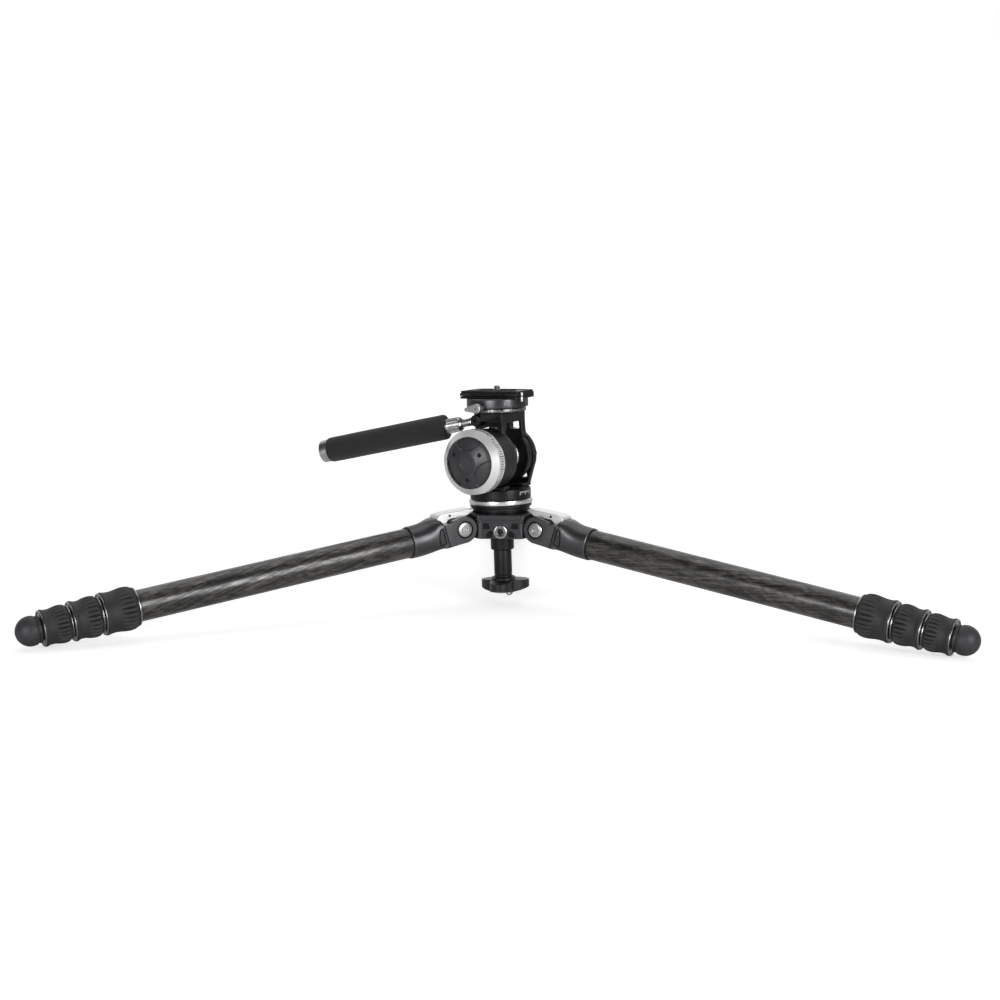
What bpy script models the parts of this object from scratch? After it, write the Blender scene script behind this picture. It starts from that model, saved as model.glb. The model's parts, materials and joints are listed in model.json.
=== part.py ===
"""Low-standing tripod with a levelling base and a fluid head.

Frame: metres, +Z up, floor at z = 0, origin under the middle of the bounding box.
+X is the way the head looks and the way leg 1 points. The head leans a little on its
half ball, so everything above the hub hangs under one tilted empty.
Lengths below are millimetres; MM turns them into metres.
"""

import math

import bmesh
import bpy
from mathutils import Matrix, Vector

MM = 0.001
GAP = 0.3
ROUND = 16
WIDE = 24

# legs
LEG_AZIMUTHS = (0.0, 240.0, 120.0)
LEG_SLOPE = 8.05
PIVOT_RADIUS = 46.6
PIVOT_Z = 73.7
TUBE_DROP = 3.44
BALL_X = 408.6
BALL_R = 13.0
TUBE_R = (14.0, 12.4, 10.8, 9.2)
TUBE_WALL = 1.2
TUBE_START = (34.6, 44.0, 48.0, 52.0)
TUBE_END = (340.0, 366.0, 392.0, 409.2)
LOCK_START = (316.5, 348.3, 374.9)
LOCK_END = (347.9, 374.5, 400.1)
LOCK_BULGE_R = (19.2, 18.0, 16.5)
LOCK_WAIST_R = (17.9, 16.4, 15.1)
CHEEK_R = 12.7
CHEEK_OUT = 15.5
CHEEK_IN = 9.8
CASTING_END = 53.1
BOLT_R = 3.0
BOLT_HEAD_R = 6.8
TAB_PIN = (11.0, 14.0)

# hub
HUB_TOP = 87.3
HUB_LIP_Z = 82.4
HUB_BOTTOM = 64.0
HUB_FLAT = 30.0
HUB_FLAT_HALF = 21.0
HUB_LIP_FLAT = 34.6
HUB_LIP_HALF = 21.8
SOCKET_AZIMUTH = -60.0
SOCKET_Z = 71.0

# levelling base
BALL_CENTRE_Z = 91.0
HALF_BALL_R = 27.4
LINER_R = (28.0, 28.7)
BOWL_R = 29.3
LEAN = 2.3
LEAN_AXIS = (0.515, -0.857, 0.0)
STUD_R = 4.7
COLUMN_R = 8.6
COLLAR_R = 11.2
KNOB_BOTTOM = 9.0
KNOB_TOP = 23.0
KNOB_LOBE_R = 25.5
KNOB_WAIST_R = 12.5
KNOB_LOBE_AZIMUTH = -71.0
RING_AXIS_Z = 13.2
RING_OFFSET = 6.5

# head, heights above the floor before the lean
TILT_Z = 139.0
AXLE_R = 5.0
DRUM_R = 28.8
DRUM_SPAN = (14.0, 40.0)
WHEEL_R = 30.8
WHEEL_SPAN = (40.3, 49.8, 54.8)
COVER_R = 24.1
PAN_BODY_SPAN = (100.0, 110.0)
UPRIGHT_Y = (21.2, 27.0)
PADDLE_Y = (12.4, 20.0)
YOKE_TOP = 182.3
YOKE_UNDER = 174.6
YOKE_HALF_X = 18.0
YOKE_NEAR_Y = -22.0
EYE = (-12.5, -18.0, 175.0)
HANDLE_DOWN = 10.5
HANDLE_OUT = 10.0
CLAMP_R = 29.3
CLAMP_TOP = 195.8
PLATE_X = (-32.0, 31.3)
JAW_X = (-31.6, 31.0)
PLATE_TOP = 202.8
LEVER_Z = 188.0

HUB_X = -(PIVOT_RADIUS + BALL_X * math.cos(math.radians(LEG_SLOPE))
          - TUBE_DROP * math.sin(math.radians(LEG_SLOPE))) / 4


# ---------------------------------------------------------------- building blocks

def clear_scene():
    for obj in list(bpy.data.objects):
        bpy.data.objects.remove(obj, do_unlink=True)


def material(name, colour, roughness, metallic=0.0):
    found = bpy.data.materials.get(name)
    if found:
        return found
    made = bpy.data.materials.new(name)
    made.use_nodes = True
    shader = made.node_tree.nodes["Principled BSDF"]
    shader.inputs["Base Color"].default_value = (*colour, 1.0)
    shader.inputs["Roughness"].default_value = roughness
    shader.inputs["Metallic"].default_value = metallic
    made.diffuse_color = (*colour, 1.0)
    return made


def carbon():
    return material("carbon_fibre", (0.035, 0.03, 0.028), 0.35)


def graphite():
    return material("graphite_anodised", (0.075, 0.075, 0.08), 0.35, 0.8)


def black_metal():
    return material("black_anodised", (0.02, 0.02, 0.022), 0.4, 0.6)


def bright_metal():
    return material("satin_aluminium", (0.78, 0.78, 0.77), 0.3, 1.0)


def grey_metal():
    return material("grey_aluminium", (0.32, 0.33, 0.34), 0.35, 1.0)


def rubber():
    return material("grip_rubber", (0.06, 0.065, 0.065), 0.75)


def foam():
    return material("grip_foam", (0.012, 0.012, 0.013), 0.9)


def black_plastic():
    return material("black_plastic", (0.025, 0.025, 0.028), 0.45)


def finish_mesh(bm, name):
    """Weld coincident points, point the faces out and scale to metres."""
    bmesh.ops.remove_doubles(bm, verts=bm.verts, dist=1e-4)
    bmesh.ops.recalc_face_normals(bm, faces=bm.faces)
    bmesh.ops.scale(bm, vec=(MM, MM, MM), verts=bm.verts)
    mesh = bpy.data.meshes.new(name)
    bm.to_mesh(mesh)
    bm.free()
    obj = bpy.data.objects.new(name, mesh)
    bpy.context.scene.collection.objects.link(obj)
    return obj


def turned(name, profile, axis="Z", closed=False, segments=ROUND, centre=(0.0, 0.0, 0.0)):
    """Spin (radius, height) points round an axis; closed joins the last point to the first."""
    bm = bmesh.new()
    frames = {"Z": ((1, 0, 0), (0, 1, 0), (0, 0, 1)),
              "Y": ((0, 0, 1), (1, 0, 0), (0, 1, 0)),
              "X": ((0, 1, 0), (0, 0, 1), (1, 0, 0))}
    side, up, along = (Vector(v) for v in frames[axis])
    rows = []
    for radius, height in profile:
        base = Vector(centre) + along * height
        if radius < 1e-6:
            rows.append([bm.verts.new(base)])
            continue
        turn = [2 * math.pi * k / segments for k in range(segments)]
        rows.append([bm.verts.new(base + side * radius * math.cos(t) + up * radius * math.sin(t))
                     for t in turn])
    pairs = list(zip(rows, rows[1:]))
    if closed:
        pairs.append((rows[-1], rows[0]))
    for low, high in pairs:
        for k in range(segments):
            n = (k + 1) % segments
            if len(low) == 1 and len(high) == 1:
                continue
            if len(low) == 1:
                bm.faces.new((low[0], high[n], high[k]))
            elif len(high) == 1:
                bm.faces.new((low[k], low[n], high[0]))
            else:
                bm.faces.new((low[k], low[n], high[n], high[k]))
    return finish_mesh(bm, name)


def prism(name, outline, low, high, plane="XY"):
    """Extrude an outline; plane names the two axes the outline lies in."""
    places = {"XY": lambda a, b, c: (a, b, c),
              "XZ": lambda a, b, c: (a, c, b),
              "YZ": lambda a, b, c: (c, a, b)}[plane]
    bm = bmesh.new()
    bottom = [bm.verts.new(places(a, b, low)) for a, b in outline]
    top = [bm.verts.new(places(a, b, high)) for a, b in outline]
    bm.faces.new(bottom)
    bm.faces.new(list(reversed(top)))
    for k in range(len(outline)):
        n = (k + 1) % len(outline)
        bm.faces.new((bottom[k], bottom[n], top[n], top[k]))
    return finish_mesh(bm, name)


def block(name, low, high):
    outline = [(low[0], low[1]), (high[0], low[1]), (high[0], high[1]), (low[0], high[1])]
    return prism(name, outline, low[2], high[2])


def rod(name, radius, low, high, axis="Z", centre=(0.0, 0.0, 0.0), segments=ROUND):
    profile = [(0, low), (radius, low), (radius, high), (0, high)]
    return turned(name, profile, axis, segments=segments, centre=centre)


def arc(centre, radius, start, end, steps):
    """Points on an arc, angles in degrees, both ends included."""
    points = []
    for k in range(steps + 1):
        t = math.radians(start + (end - start) * k / steps)
        points.append((centre[0] + radius * math.cos(t), centre[1] + radius * math.sin(t)))
    return points


def bake(obj):
    """Replace an object's mesh by its evaluated mesh and drop its modifiers."""
    graph = bpy.context.evaluated_depsgraph_get()
    graph.update()
    mesh = bpy.data.meshes.new_from_object(obj.evaluated_get(graph))
    obj.modifiers.clear()
    obj.data = mesh
    bm = bmesh.new()
    bm.from_mesh(mesh)
    bmesh.ops.remove_doubles(bm, verts=bm.verts, dist=1e-6)
    bmesh.ops.dissolve_degenerate(bm, edges=bm.edges, dist=1e-6)
    bm.to_mesh(mesh)
    bm.free()


def combine(obj, operation, *tools):
    """Boolean an object with tool solids, which are used up."""
    for tool in tools:
        step = obj.modifiers.new(operation.title(), "BOOLEAN")
        step.operation = operation
        step.solver = "EXACT"
        step.object = tool
        bake(obj)
        bpy.data.objects.remove(tool, do_unlink=True)
    return obj


def cut(obj, *tools):
    return combine(obj, "DIFFERENCE", *tools)


def join(obj, *tools):
    return combine(obj, "UNION", *tools)


def soften(obj, width, segments=1):
    step = obj.modifiers.new("Bevel", "BEVEL")
    step.width = width * MM
    step.segments = segments
    step.limit_method = "ANGLE"
    step.angle_limit = math.radians(50)
    bake(obj)
    return obj


def turn_about(obj, point, axis, degrees):
    """Bake a turn about a point (millimetres) into an object's mesh."""
    here = Matrix.Translation(Vector(point) * MM)
    obj.data.transform(here @ Matrix.Rotation(math.radians(degrees), 4, axis) @ here.inverted())
    return obj


def empty(name, parent=None, location=(0.0, 0.0, 0.0), rotation=None):
    made = bpy.data.objects.new(name, None)
    made.empty_display_size = 10 * MM
    bpy.context.scene.collection.objects.link(made)
    made.parent = parent
    made.location = Vector(location) * MM
    if rotation is not None:
        made.rotation_euler = rotation
    return made


def place(obj, name, look, parent, origin=(0.0, 0.0, 0.0)):
    """Name a part, give it its material and hang it on its parent with its own origin."""
    obj.data.transform(Matrix.Translation(-Vector(origin) * MM))
    obj.name = name
    obj.data.name = name
    obj.data.materials.clear()
    obj.data.materials.append(look)
    obj.data.shade_smooth()
    obj.data.set_sharp_from_angle(angle=math.radians(32))
    obj.parent = parent
    obj.location = Vector(origin) * MM
    return obj


# ---------------------------------------------------------------- legs
# leg frame: origin on the leg's pivot, +X out along the leg, +Z up from it

def tube_centre():
    return (0.0, 0.0, -TUBE_DROP)


def leg_casting():
    """Two cheeks round the hub's lug, growing into the round socket of the top tube."""
    side = arc((0, 0), CHEEK_R, 62, 262, 10)
    side += [(17.5, -12.4), (36.0, -17.2), (36.0, 10.6), (27.0, 10.4), (21.0, 8.8), (12.6, 9.2)]
    body = prism("casting", side, -CHEEK_OUT, CHEEK_OUT, "XZ")
    barrel = [(0, 25.0), (12.0, 25.0), (16.4, 29.5), (17.7, 34.5), (16.8, 41.0), (15.6, 48.0),
              (15.2, CASTING_END), (0, CASTING_END)]
    join(body, turned("barrel", barrel, "X", centre=tube_centre(), segments=WIDE))
    cut(body,
        block("slot", (-16, -CHEEK_IN, -20), (25.0, CHEEK_IN, 20)),
        rod("bore", TUBE_R[0] + GAP, TUBE_START[0] - GAP, CASTING_END + 2, "X", tube_centre(), WIDE),
        rod("pin_hole", BOLT_R + GAP, -20, 20, "Y", segments=16),
        rod("recess_a", BOLT_HEAD_R + 0.5, 13.2, 20, "Y"),
        rod("recess_b", BOLT_HEAD_R + 0.5, -20, -13.2, "Y"))
    return body


def pivot_bolt():
    """Shaft through lug and cheeks with a low round head at each end."""
    half = [(BOLT_R, 13.5), (BOLT_HEAD_R, 13.5), (BOLT_HEAD_R, 15.4), (6.0, 16.2), (0, 16.2)]
    profile = [(r, -y) for r, y in reversed(half)] + half
    return turned("bolt", profile, "Y", segments=12)


def angle_tab():
    """Sprung pawl lying on top of the joint; its nose bears on the hub's rim."""
    outline = [(-15.0, 14.2), (-14.6, 16.6), (4.0, 17.4), (17.0, 17.4), (23.8, 15.4),
               (24.5, 12.4), (24.3, 6.0), (17.0, 5.2), (14.4, 10.2), (9.0, 12.6), (0.0, 13.4)]
    return prism("tab", outline, -8.6, 8.6, "XZ")


def leg_tube(index):
    outer = TUBE_R[index]
    profile = [(outer - TUBE_WALL, TUBE_START[index]), (outer, TUBE_START[index]),
               (outer, TUBE_END[index]), (outer - TUBE_WALL, TUBE_END[index])]
    return turned("tube", profile, "X", closed=True, centre=tube_centre())


def twist_lock(index):
    """Ribbed bulge towards the hub, waist, and a flared rim round the tube's end."""
    low, high = LOCK_START[index], LOCK_END[index]
    length = high - low
    bulge, waist = LOCK_BULGE_R[index], LOCK_WAIST_R[index]
    over, under = TUBE_R[index] + GAP, TUBE_R[index + 1] + GAP
    step_x = TUBE_END[index] + GAP
    outer = [(waist - 1.2, 0.0), (bulge, 0.18), (bulge - 0.2, 0.46), (waist, 0.62),
             (waist, 0.78), (bulge - 0.3, 0.92), (bulge - 0.3, 1.0)]
    profile = [(over, low)] + [(r, low + length * f) for r, f in outer]
    profile += [(under, high), (under, step_x), (over, step_x)]
    return turned("lock", profile, "X", closed=True, centre=tube_centre())


def leg_foot():
    """Rubber ball on a short neck, bored to take the last tube."""
    bore = TUBE_R[3] + GAP
    neck = 400.5
    profile = [(0, TUBE_END[3] + GAP), (bore, TUBE_END[3] + GAP), (bore, neck), (10.9, neck),
               (10.9, neck + 3.2), (12.3, neck + 4.2)]
    steps = 5
    for k in range(steps + 1):
        t = math.radians(90 * k / steps)
        profile.append((BALL_R * math.cos(t), BALL_X + BALL_R * math.sin(t)))
    profile[-1] = (0, BALL_X + BALL_R)
    return turned("foot", profile, "X", centre=tube_centre())


def build_leg(number, azimuth, casting, hub):
    """One leg; every copy shares the casting's mesh through its own object."""
    prefix = f"leg_{number}_"
    spin = math.radians(azimuth)
    socket = empty(prefix + "azimuth", hub, rotation=(0, 0, spin))
    pivot = empty(prefix + "pivot", socket, (PIVOT_RADIUS, 0, PIVOT_Z),
                  (0, math.radians(LEG_SLOPE), 0))
    axis = tube_centre()
    body = bpy.data.objects.new("casting", casting.copy())
    bpy.context.scene.collection.objects.link(body)
    place(body, prefix + "casting", graphite(), pivot)
    place(pivot_bolt(), prefix + "pivot_bolt", bright_metal(), pivot)
    pin = (TAB_PIN[0], 0.0, TAB_PIN[1])
    place(angle_tab(), prefix + "angle_tab", bright_metal(), pivot, pin)
    parent = pivot
    for index in range(4):
        if index:
            parent = empty(f"{prefix}slide_{index + 1}", parent)
        place(leg_tube(index), f"{prefix}tube_{index + 1}", carbon(), parent, axis)
        if index < 3:
            place(twist_lock(index), f"{prefix}lock_{index + 1}", rubber(), parent, axis)
    place(leg_foot(), prefix + "foot", rubber(), parent, axis)


# ---------------------------------------------------------------- hub
# hub frame: origin on the floor under the hub's axis

def polar(radius, degrees):
    t = math.radians(degrees)
    return (radius * math.cos(t), radius * math.sin(t))


def hub_outline(flat, half):
    """Three flats between the legs; the corners stop short of the cheeks."""
    points = []
    reach = math.hypot(flat, half)
    lean = math.degrees(math.atan2(half, flat))
    for azimuth in sorted(a % 360 for a in LEG_AZIMUTHS):
        middle = azimuth + 60
        points += [polar(reach, middle - lean), polar(reach, middle + lean)]
    return points


def hub_body():
    """Spider: three lugs, a lipped top plate and a bowl for the levelling ball."""
    body = prism("hub", hub_outline(HUB_FLAT, HUB_FLAT_HALF), HUB_BOTTOM, HUB_LIP_Z + 0.2)
    lip = prism("lip", hub_outline(HUB_LIP_FLAT, HUB_LIP_HALF), HUB_LIP_Z, HUB_TOP)
    join(body, soften(lip, 0.6))
    for azimuth in LEG_AZIMUTHS:
        side = [(24.0, HUB_BOTTOM + 0.4), (44.0, HUB_BOTTOM - 0.2)]
        side += arc((PIVOT_RADIUS, PIVOT_Z), 10.5, -95, 85, 8)
        side += [(44.0, PIVOT_Z + 10.6), (24.0, PIVOT_Z + 10.6)]
        lug = prism("lug", side, -9.4, 9.4, "XZ")
        turn_about(lug, (0, 0, 0), "Z", azimuth)
        join(body, lug)
    steps = 6
    bowl = [(0, HUB_BOTTOM - 2), (17.0, HUB_BOTTOM - 2)]
    low = math.asin(17.0 / BOWL_R)
    high = math.pi / 2
    for k in range(steps + 1):
        t = low + (high - low) * k / steps
        bowl.append((BOWL_R * math.sin(t), BALL_CENTRE_Z - BOWL_R * math.cos(t)))
    bowl.append((0, BALL_CENTRE_Z))
    cut(body, turned("bowl", bowl, segments=WIDE))
    for azimuth in LEG_AZIMUTHS:
        hole = rod("hole", BOLT_R + GAP, -12, 12, "Y", (PIVOT_RADIUS, 0, PIVOT_Z), 16)
        cut(body, turn_about(hole, (0, 0, 0), "Z", azimuth))
        for side in (-1, 1):
            upper = [(side * 10.6, 73.2), (side * 16.6, 73.2), (side * 16.6, 78.2),
                     (side * 12.0, 78.2)]
            lower = [(side * 8.0, 66.4), (side * 13.6, 66.4), (side * 13.6, 68.4),
                     (side * 10.6, 71.4), (side * 8.0, 71.4)]
            for outline in (upper, lower):
                pocket = prism("pocket", outline, 27.4, 32.0, "YZ")
                cut(body, turn_about(pocket, (0, 0, 0), "Z", azimuth + 60))
    hole = rod("hole", 6.8, 25.0, 34.0, "X", (0, 0, SOCKET_Z))
    return cut(body, turn_about(hole, (0, 0, 0), "Z", SOCKET_AZIMUTH))


def accessory_socket():
    """Threaded insert for an accessory arm, standing a little proud of the hub."""
    profile = [(3.1, 25.3), (6.5, 25.3), (6.5, 32.2), (5.9, 33.0), (4.6, 33.0), (4.0, 31.8),
               (3.1, 31.4)]
    ring = turned("socket", profile, "X", closed=True, centre=(0, 0, SOCKET_Z))
    return turn_about(ring, (0, 0, 0), "Z", SOCKET_AZIMUTH)


def sphere_arc(radius, start, end, steps):
    """Turned points on a sphere about the ball's centre; 0 degrees is straight down."""
    points = []
    for k in range(steps + 1):
        t = math.radians(start + (end - start) * k / steps)
        points.append((radius * math.sin(t), BALL_CENTRE_Z - radius * math.cos(t)))
    return points


def seat_liner():
    inner, outer = LINER_R
    profile = sphere_arc(outer, 39, 80, 4) + sphere_arc(inner, 80, 39, 4)
    return turned("liner", profile, closed=True, segments=WIDE)


def half_ball():
    hole = STUD_R + GAP
    profile = sphere_arc(HALF_BALL_R, 29, 91, 6)
    profile += [(hole, BALL_CENTRE_Z + 0.49), (hole, profile[0][1])]
    return turned("half_ball", profile, closed=True, segments=WIDE)


def levelling_collar():
    hole = STUD_R + GAP
    profile = [(hole, 50.0), (10.6, 50.0), (COLLAR_R, 50.8), (COLLAR_R, 66.2), (hole, 66.2)]
    return turned("collar", profile, closed=True)


def levelling_column():
    """Handle column; its stud runs up through collar, ball and head base."""
    profile = [(0, 13.0), (4.2, 13.0), (4.2, 23.3), (COLUMN_R, 23.3), (COLUMN_R, 49.7),
               (STUD_R, 49.7), (STUD_R, 94.4), (0, 94.4)]
    return turned("column", profile)


def levelling_knob():
    """Three-lobed knob with a slot underneath for the weight ring."""
    points = []
    count = 54
    for k in range(count):
        t = 2 * math.pi * k / count
        lobe = (0.5 + 0.5 * math.cos(3 * t)) ** 0.85
        radius = KNOB_WAIST_R + (KNOB_LOBE_R - KNOB_WAIST_R) * lobe
        points.append((radius * math.cos(t), radius * math.sin(t)))
    knob = prism("knob", points, KNOB_BOTTOM, KNOB_TOP - 3.0)
    collar = [(0, KNOB_TOP - 4), (12.0, KNOB_TOP - 4), (11.0, KNOB_TOP), (0, KNOB_TOP)]
    join(knob, turned("neck", collar))
    turn_about(knob, (0, 0, 0), "Z", KNOB_LOBE_AZIMUTH)
    slot = block("slot", (RING_OFFSET - 3.4, -7.4, KNOB_BOTTOM - 2), (RING_OFFSET + 3.4, 7.4, 15.4))
    return cut(knob, rod("hole", 4.2 + GAP, 11.6, KNOB_TOP + 2, segments=16), slot)


def weight_ring():
    """Small D ring hanging in the knob's slot from its straight top bar."""
    outer = [(-6.6, 14.2), (-6.6, 9.4)] + arc((0, 9.4), 6.6, 180, 360, 8)[1:-1]
    outer += [(6.6, 9.4), (6.6, 14.2)]
    squash = [(y, 9.4 + (z - 9.4) * 0.68 if z < 9.4 else z) for y, z in outer]
    inner = [(y * 0.74, 10.0 + (z - 10.0) * (0.72 if z < 10 else 0.5)) for y, z in squash]
    ring = prism("ring", squash, RING_OFFSET - 0.8, RING_OFFSET + 0.8, "YZ")
    return cut(ring, prism("hole", inner, RING_OFFSET - 3, RING_OFFSET + 3, "YZ"))


# ---------------------------------------------------------------- head
# head frame: as the hub frame before the lean

def head_base():
    profile = [(STUD_R + GAP, 91.8), (28.9, 91.8), (29.5, 92.4), (29.5, 94.9), (STUD_R + GAP, 94.9)]
    ring = turned("base", profile, closed=True, segments=WIDE)
    notch = block("notch", (-3.0, -31.0, 91.0), (3.0, -27.6, 93.4))
    return cut(ring, turn_about(notch, (0, 0, 0), "Z", 38.0))


def pan_scale_ring():
    profile = [(9.0, 95.2), (29.6, 95.2), (30.2, 95.8), (30.2, 99.1), (29.6, 99.7), (9.0, 99.7)]
    return turned("ring", profile, closed=True, segments=WIDE)


def pan_body():
    """Turntable with the saddle for the drum and the far upright for the tilt axle."""
    low, high = PAN_BODY_SPAN
    disc = [(0, low), (28.6, low), (29.0, low + 0.6), (29.0, high - 1.4), (27.8, high), (0, high)]
    body = turned("pan", disc, segments=WIDE)
    side = [(-17.5, high - 0.6)] + arc((0, TILT_Z), 26.0, 205, -25, 14) + [(17.5, high - 0.6)]
    upright = prism("upright", side, UPRIGHT_Y[0], UPRIGHT_Y[1], "XZ")
    foot = block("foot", (-19.0, 11.0, high - 0.6), (19.0, 26.0, 112.6))
    saddle = block("saddle", (-19.0, -24.0, high - 0.6), (19.0, -14.4, 113.4))
    join(body, foot, upright, saddle)
    cut(body, rod("space", DRUM_R + GAP, -45, -12.2, "Y", (0, 0, TILT_Z), WIDE))
    window = [(-9.5, 115.5), (9.5, 115.5), (7.5, 124.0), (-7.5, 124.0)]
    return cut(body, prism("window", window, 18.0, 30.0, "XZ"),
               rod("bearing", AXLE_R + GAP, 18.0, 30.0, "Y", (0, 0, TILT_Z)))


def pan_lock_knob():
    """Small lobed knob on the side of the turntable."""
    count = 30
    grip = []
    for k in range(count):
        t = 2 * math.pi * k / count
        radius = 6.0 + 0.8 * math.cos(6 * t)
        grip.append((radius * math.cos(t), 105.0 + radius * math.sin(t)))
    knob = prism("knob", grip, 34.0, 43.0, "YZ")
    return join(knob, rod("stem", 3.4, 29.4, 35.0, "X", (0, 0, 105.0), 16))


def tilt_drum():
    """Drag housing fixed to the turntable, with a spigot for the wheel."""
    near, far = -DRUM_SPAN[1], -DRUM_SPAN[0]
    hole = AXLE_R + GAP
    profile = [(hole, -50.6), (7.6, -50.6), (7.6, near), (28.0, near), (DRUM_R, near + 0.8),
               (DRUM_R, far - 1.2), (27.6, far), (22.0, far), (22.0, far + 1.5), (hole, far + 1.5)]
    return turned("drum", profile, "Y", closed=True, segments=WIDE, centre=(0, 0, TILT_Z))


def tilt_axle():
    """Axle keyed to the yoke, with a bright bearing flange against the drum."""
    profile = [(0, -50.2), (AXLE_R, -50.2), (AXLE_R, -12.2), (20.0, -12.2), (21.0, -11.4),
               (21.0, -9.6), (AXLE_R, -9.6), (AXLE_R, 26.8), (0, 26.8)]
    return turned("axle", profile, "Y", centre=(0, 0, TILT_Z))


def drag_wheel():
    near, rim, front = (-v for v in WHEEL_SPAN)
    profile = [(7.9, near), (WHEEL_R - 0.5, near), (WHEEL_R, near - 0.5), (WHEEL_R, rim),
               (COVER_R + 0.4, front), (COVER_R + 0.4, -51.0), (7.9, -51.0)]
    return turned("wheel", profile, "Y", closed=True, segments=WIDE, centre=(0, 0, TILT_Z))


def wheel_cover():
    profile = [(0, -51.3), (COVER_R, -51.3), (COVER_R, -54.4), (20.5, -56.6), (13.0, -59.2),
               (9.0, -60.2), (0, -60.8)]
    return turned("cover", profile, "Y", segments=WIDE, centre=(0, 0, TILT_Z))


def tilt_yoke():
    """Inverted U: bridge over the drum, short near lip and a long far paddle."""
    bridge = block("yoke", (-YOKE_HALF_X, YOKE_NEAR_Y, YOKE_UNDER), (YOKE_HALF_X, 20.0, YOKE_TOP))
    soften(bridge, 1.2)
    lip = block("lip", (12.6, YOKE_NEAR_Y, 150.0), (YOKE_HALF_X, -16.0, YOKE_UNDER + 1))
    cut(lip, rod("space", DRUM_R + 0.8, -40, 0, "Y", (0, 0, TILT_Z), WIDE))
    side = [(18.4, YOKE_TOP), (-18.4, YOKE_TOP), (-18.4, 160.0)]
    side += arc((0, TILT_Z), 25.0, 140, 400, 16)
    side += [(18.4, 160.0)]
    paddle = prism("paddle", side, PADDLE_Y[0], PADDLE_Y[1], "XZ")
    join(bridge, lip, paddle)
    windows = []
    for sign in (-1, 1):
        outline = [(sign * 5.2, 167.0), (sign * 15.4, 167.0), (sign * 15.4, 174.0),
                   (sign * 5.2, 177.4)]
        windows.append(prism("window", outline, 10.0, 24.0, "XZ"))
    notch = block("notch", (-24.0, -30.0, 160.0), (-6.2, -13.8, 190.0))
    bearing = rod("bearing", AXLE_R + GAP, 8.0, 24.0, "Y", (0, 0, TILT_Z))
    screw = rod("screw", 2.0, 14.0, 22.0, "X", (0, -18.6, 178.6), 12)
    return cut(bridge, *windows, notch, bearing, screw)


def handle_axis():
    """Start point and direction of the pan handle, leaving the eye backwards and down."""
    down, out = math.radians(HANDLE_DOWN), math.radians(HANDLE_OUT)
    return Vector((-math.cos(down) * math.cos(out), -math.cos(down) * math.sin(out),
                   -math.sin(down)))


def along_handle(name, profile, closed=False):
    """Turn a profile about +X from the eye, then swing it onto the handle's line."""
    piece = turned(name, profile, "X", closed=closed)
    swing = Vector((1, 0, 0)).rotation_difference(handle_axis()).to_matrix().to_4x4()
    piece.data.transform(Matrix.Translation(Vector(EYE) * MM) @ swing)
    return piece


def handle_rod():
    eye = rod("eye", 5.6, EYE[1] - 3.6, EYE[1] + 3.6, "Y", (EYE[0], 0, EYE[2]), 20)
    shaft = along_handle("shaft", [(0, 2.0), (3.0, 2.0), (3.0, 106.0), (0, 106.0)])
    return join(eye, shaft)


def handle_nut():
    hole = 3.0 + GAP
    profile = [(hole, 14.6), (5.2, 14.6), (7.0, 17.0), (7.4, 30.9), (hole, 30.9)]
    return along_handle("nut", profile, closed=True)


def handle_grip():
    hole = 3.0 + GAP
    profile = [(hole, 31.4), (11.2, 31.4), (12.15, 32.8), (12.15, 157.0), (11.6, 158.0),
               (0, 158.0), (0, 154.0), (hole, 154.0)]
    return along_handle("grip", profile, closed=True)


def handle_end_cap():
    profile = [(0, 158.4), (11.0, 158.4), (11.0, 165.0), (10.0, 166.2), (0, 166.2)]
    return along_handle("cap", profile)


def clamp_base_ring():
    profile = [(4.5, 182.6), (26.4, 182.6), (27.0, 183.2), (27.0, 186.0), (26.4, 186.6), (4.5, 186.6)]
    return turned("ring", profile, closed=True, segments=WIDE)


def jaw_outline(sign):
    """Section of one clamp jaw, leaning over the plate's dovetail."""
    return [(sign * 14.6, 198.0), (sign * 11.7, 200.9), (sign * 16.6, 200.9), (sign * 16.6, 198.0)]


def clamp_body():
    """Panning clamp: turned drum, square deck and the far fixed jaw."""
    disc = [(4.5, 187.0), (28.5, 187.0), (CLAMP_R, 187.8), (CLAMP_R, 194.8), (28.3, CLAMP_TOP),
            (4.5, CLAMP_TOP)]
    body = turned("clamp", disc, closed=True, segments=WIDE)
    deck = block("deck", (JAW_X[0], -16.6, 195.0), (JAW_X[1], 16.6, 197.6))
    fixed = jaw_outline(1)
    fixed[0] = (14.9, 197.0)
    fixed[3] = (16.6, 197.0)
    rail = prism("rail", fixed, *JAW_X, "YZ")
    return join(body, deck, rail)


def clamp_jaw():
    return prism("jaw", jaw_outline(-1), *JAW_X, "YZ")


def clamp_lever():
    """Teardrop lever on a short round boss."""
    head = arc((0, LEVER_Z), 4.6, -70, 110, 8)
    tip = arc((-11.0, LEVER_Z - 0.8), 1.8, 105, 255, 4)
    lever = prism("lever", head + tip, -40.0, -36.0, "XZ")
    soften(lever, 0.6)
    return join(lever, rod("boss", 3.2, -37.0, -29.7, "Y", (0, 0, LEVER_Z), 20))


def release_plate():
    """Dovetail plate with a counterbored hole for its camera screw."""
    half = [(13.3, 198.0), (13.3, 198.6), (10.9, 201.3), (15.0, 201.3), (15.0, PLATE_TOP)]
    outline = [(-y, z) for y, z in reversed(half)] + half
    plate = prism("plate", outline, PLATE_X[0], PLATE_X[1], "YZ")
    return cut(plate, rod("hole", 3.5, 190, 210, segments=16), rod("bore", 6.4, 190, 200.8))


def plate_screw():
    profile = [(0, 198.3), (6.0, 198.3), (6.0, 200.4), (3.1, 200.4), (3.1, 206.6), (2.5, 207.3),
               (0, 207.3)]
    return turned("screw", profile, segments=16)


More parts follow.
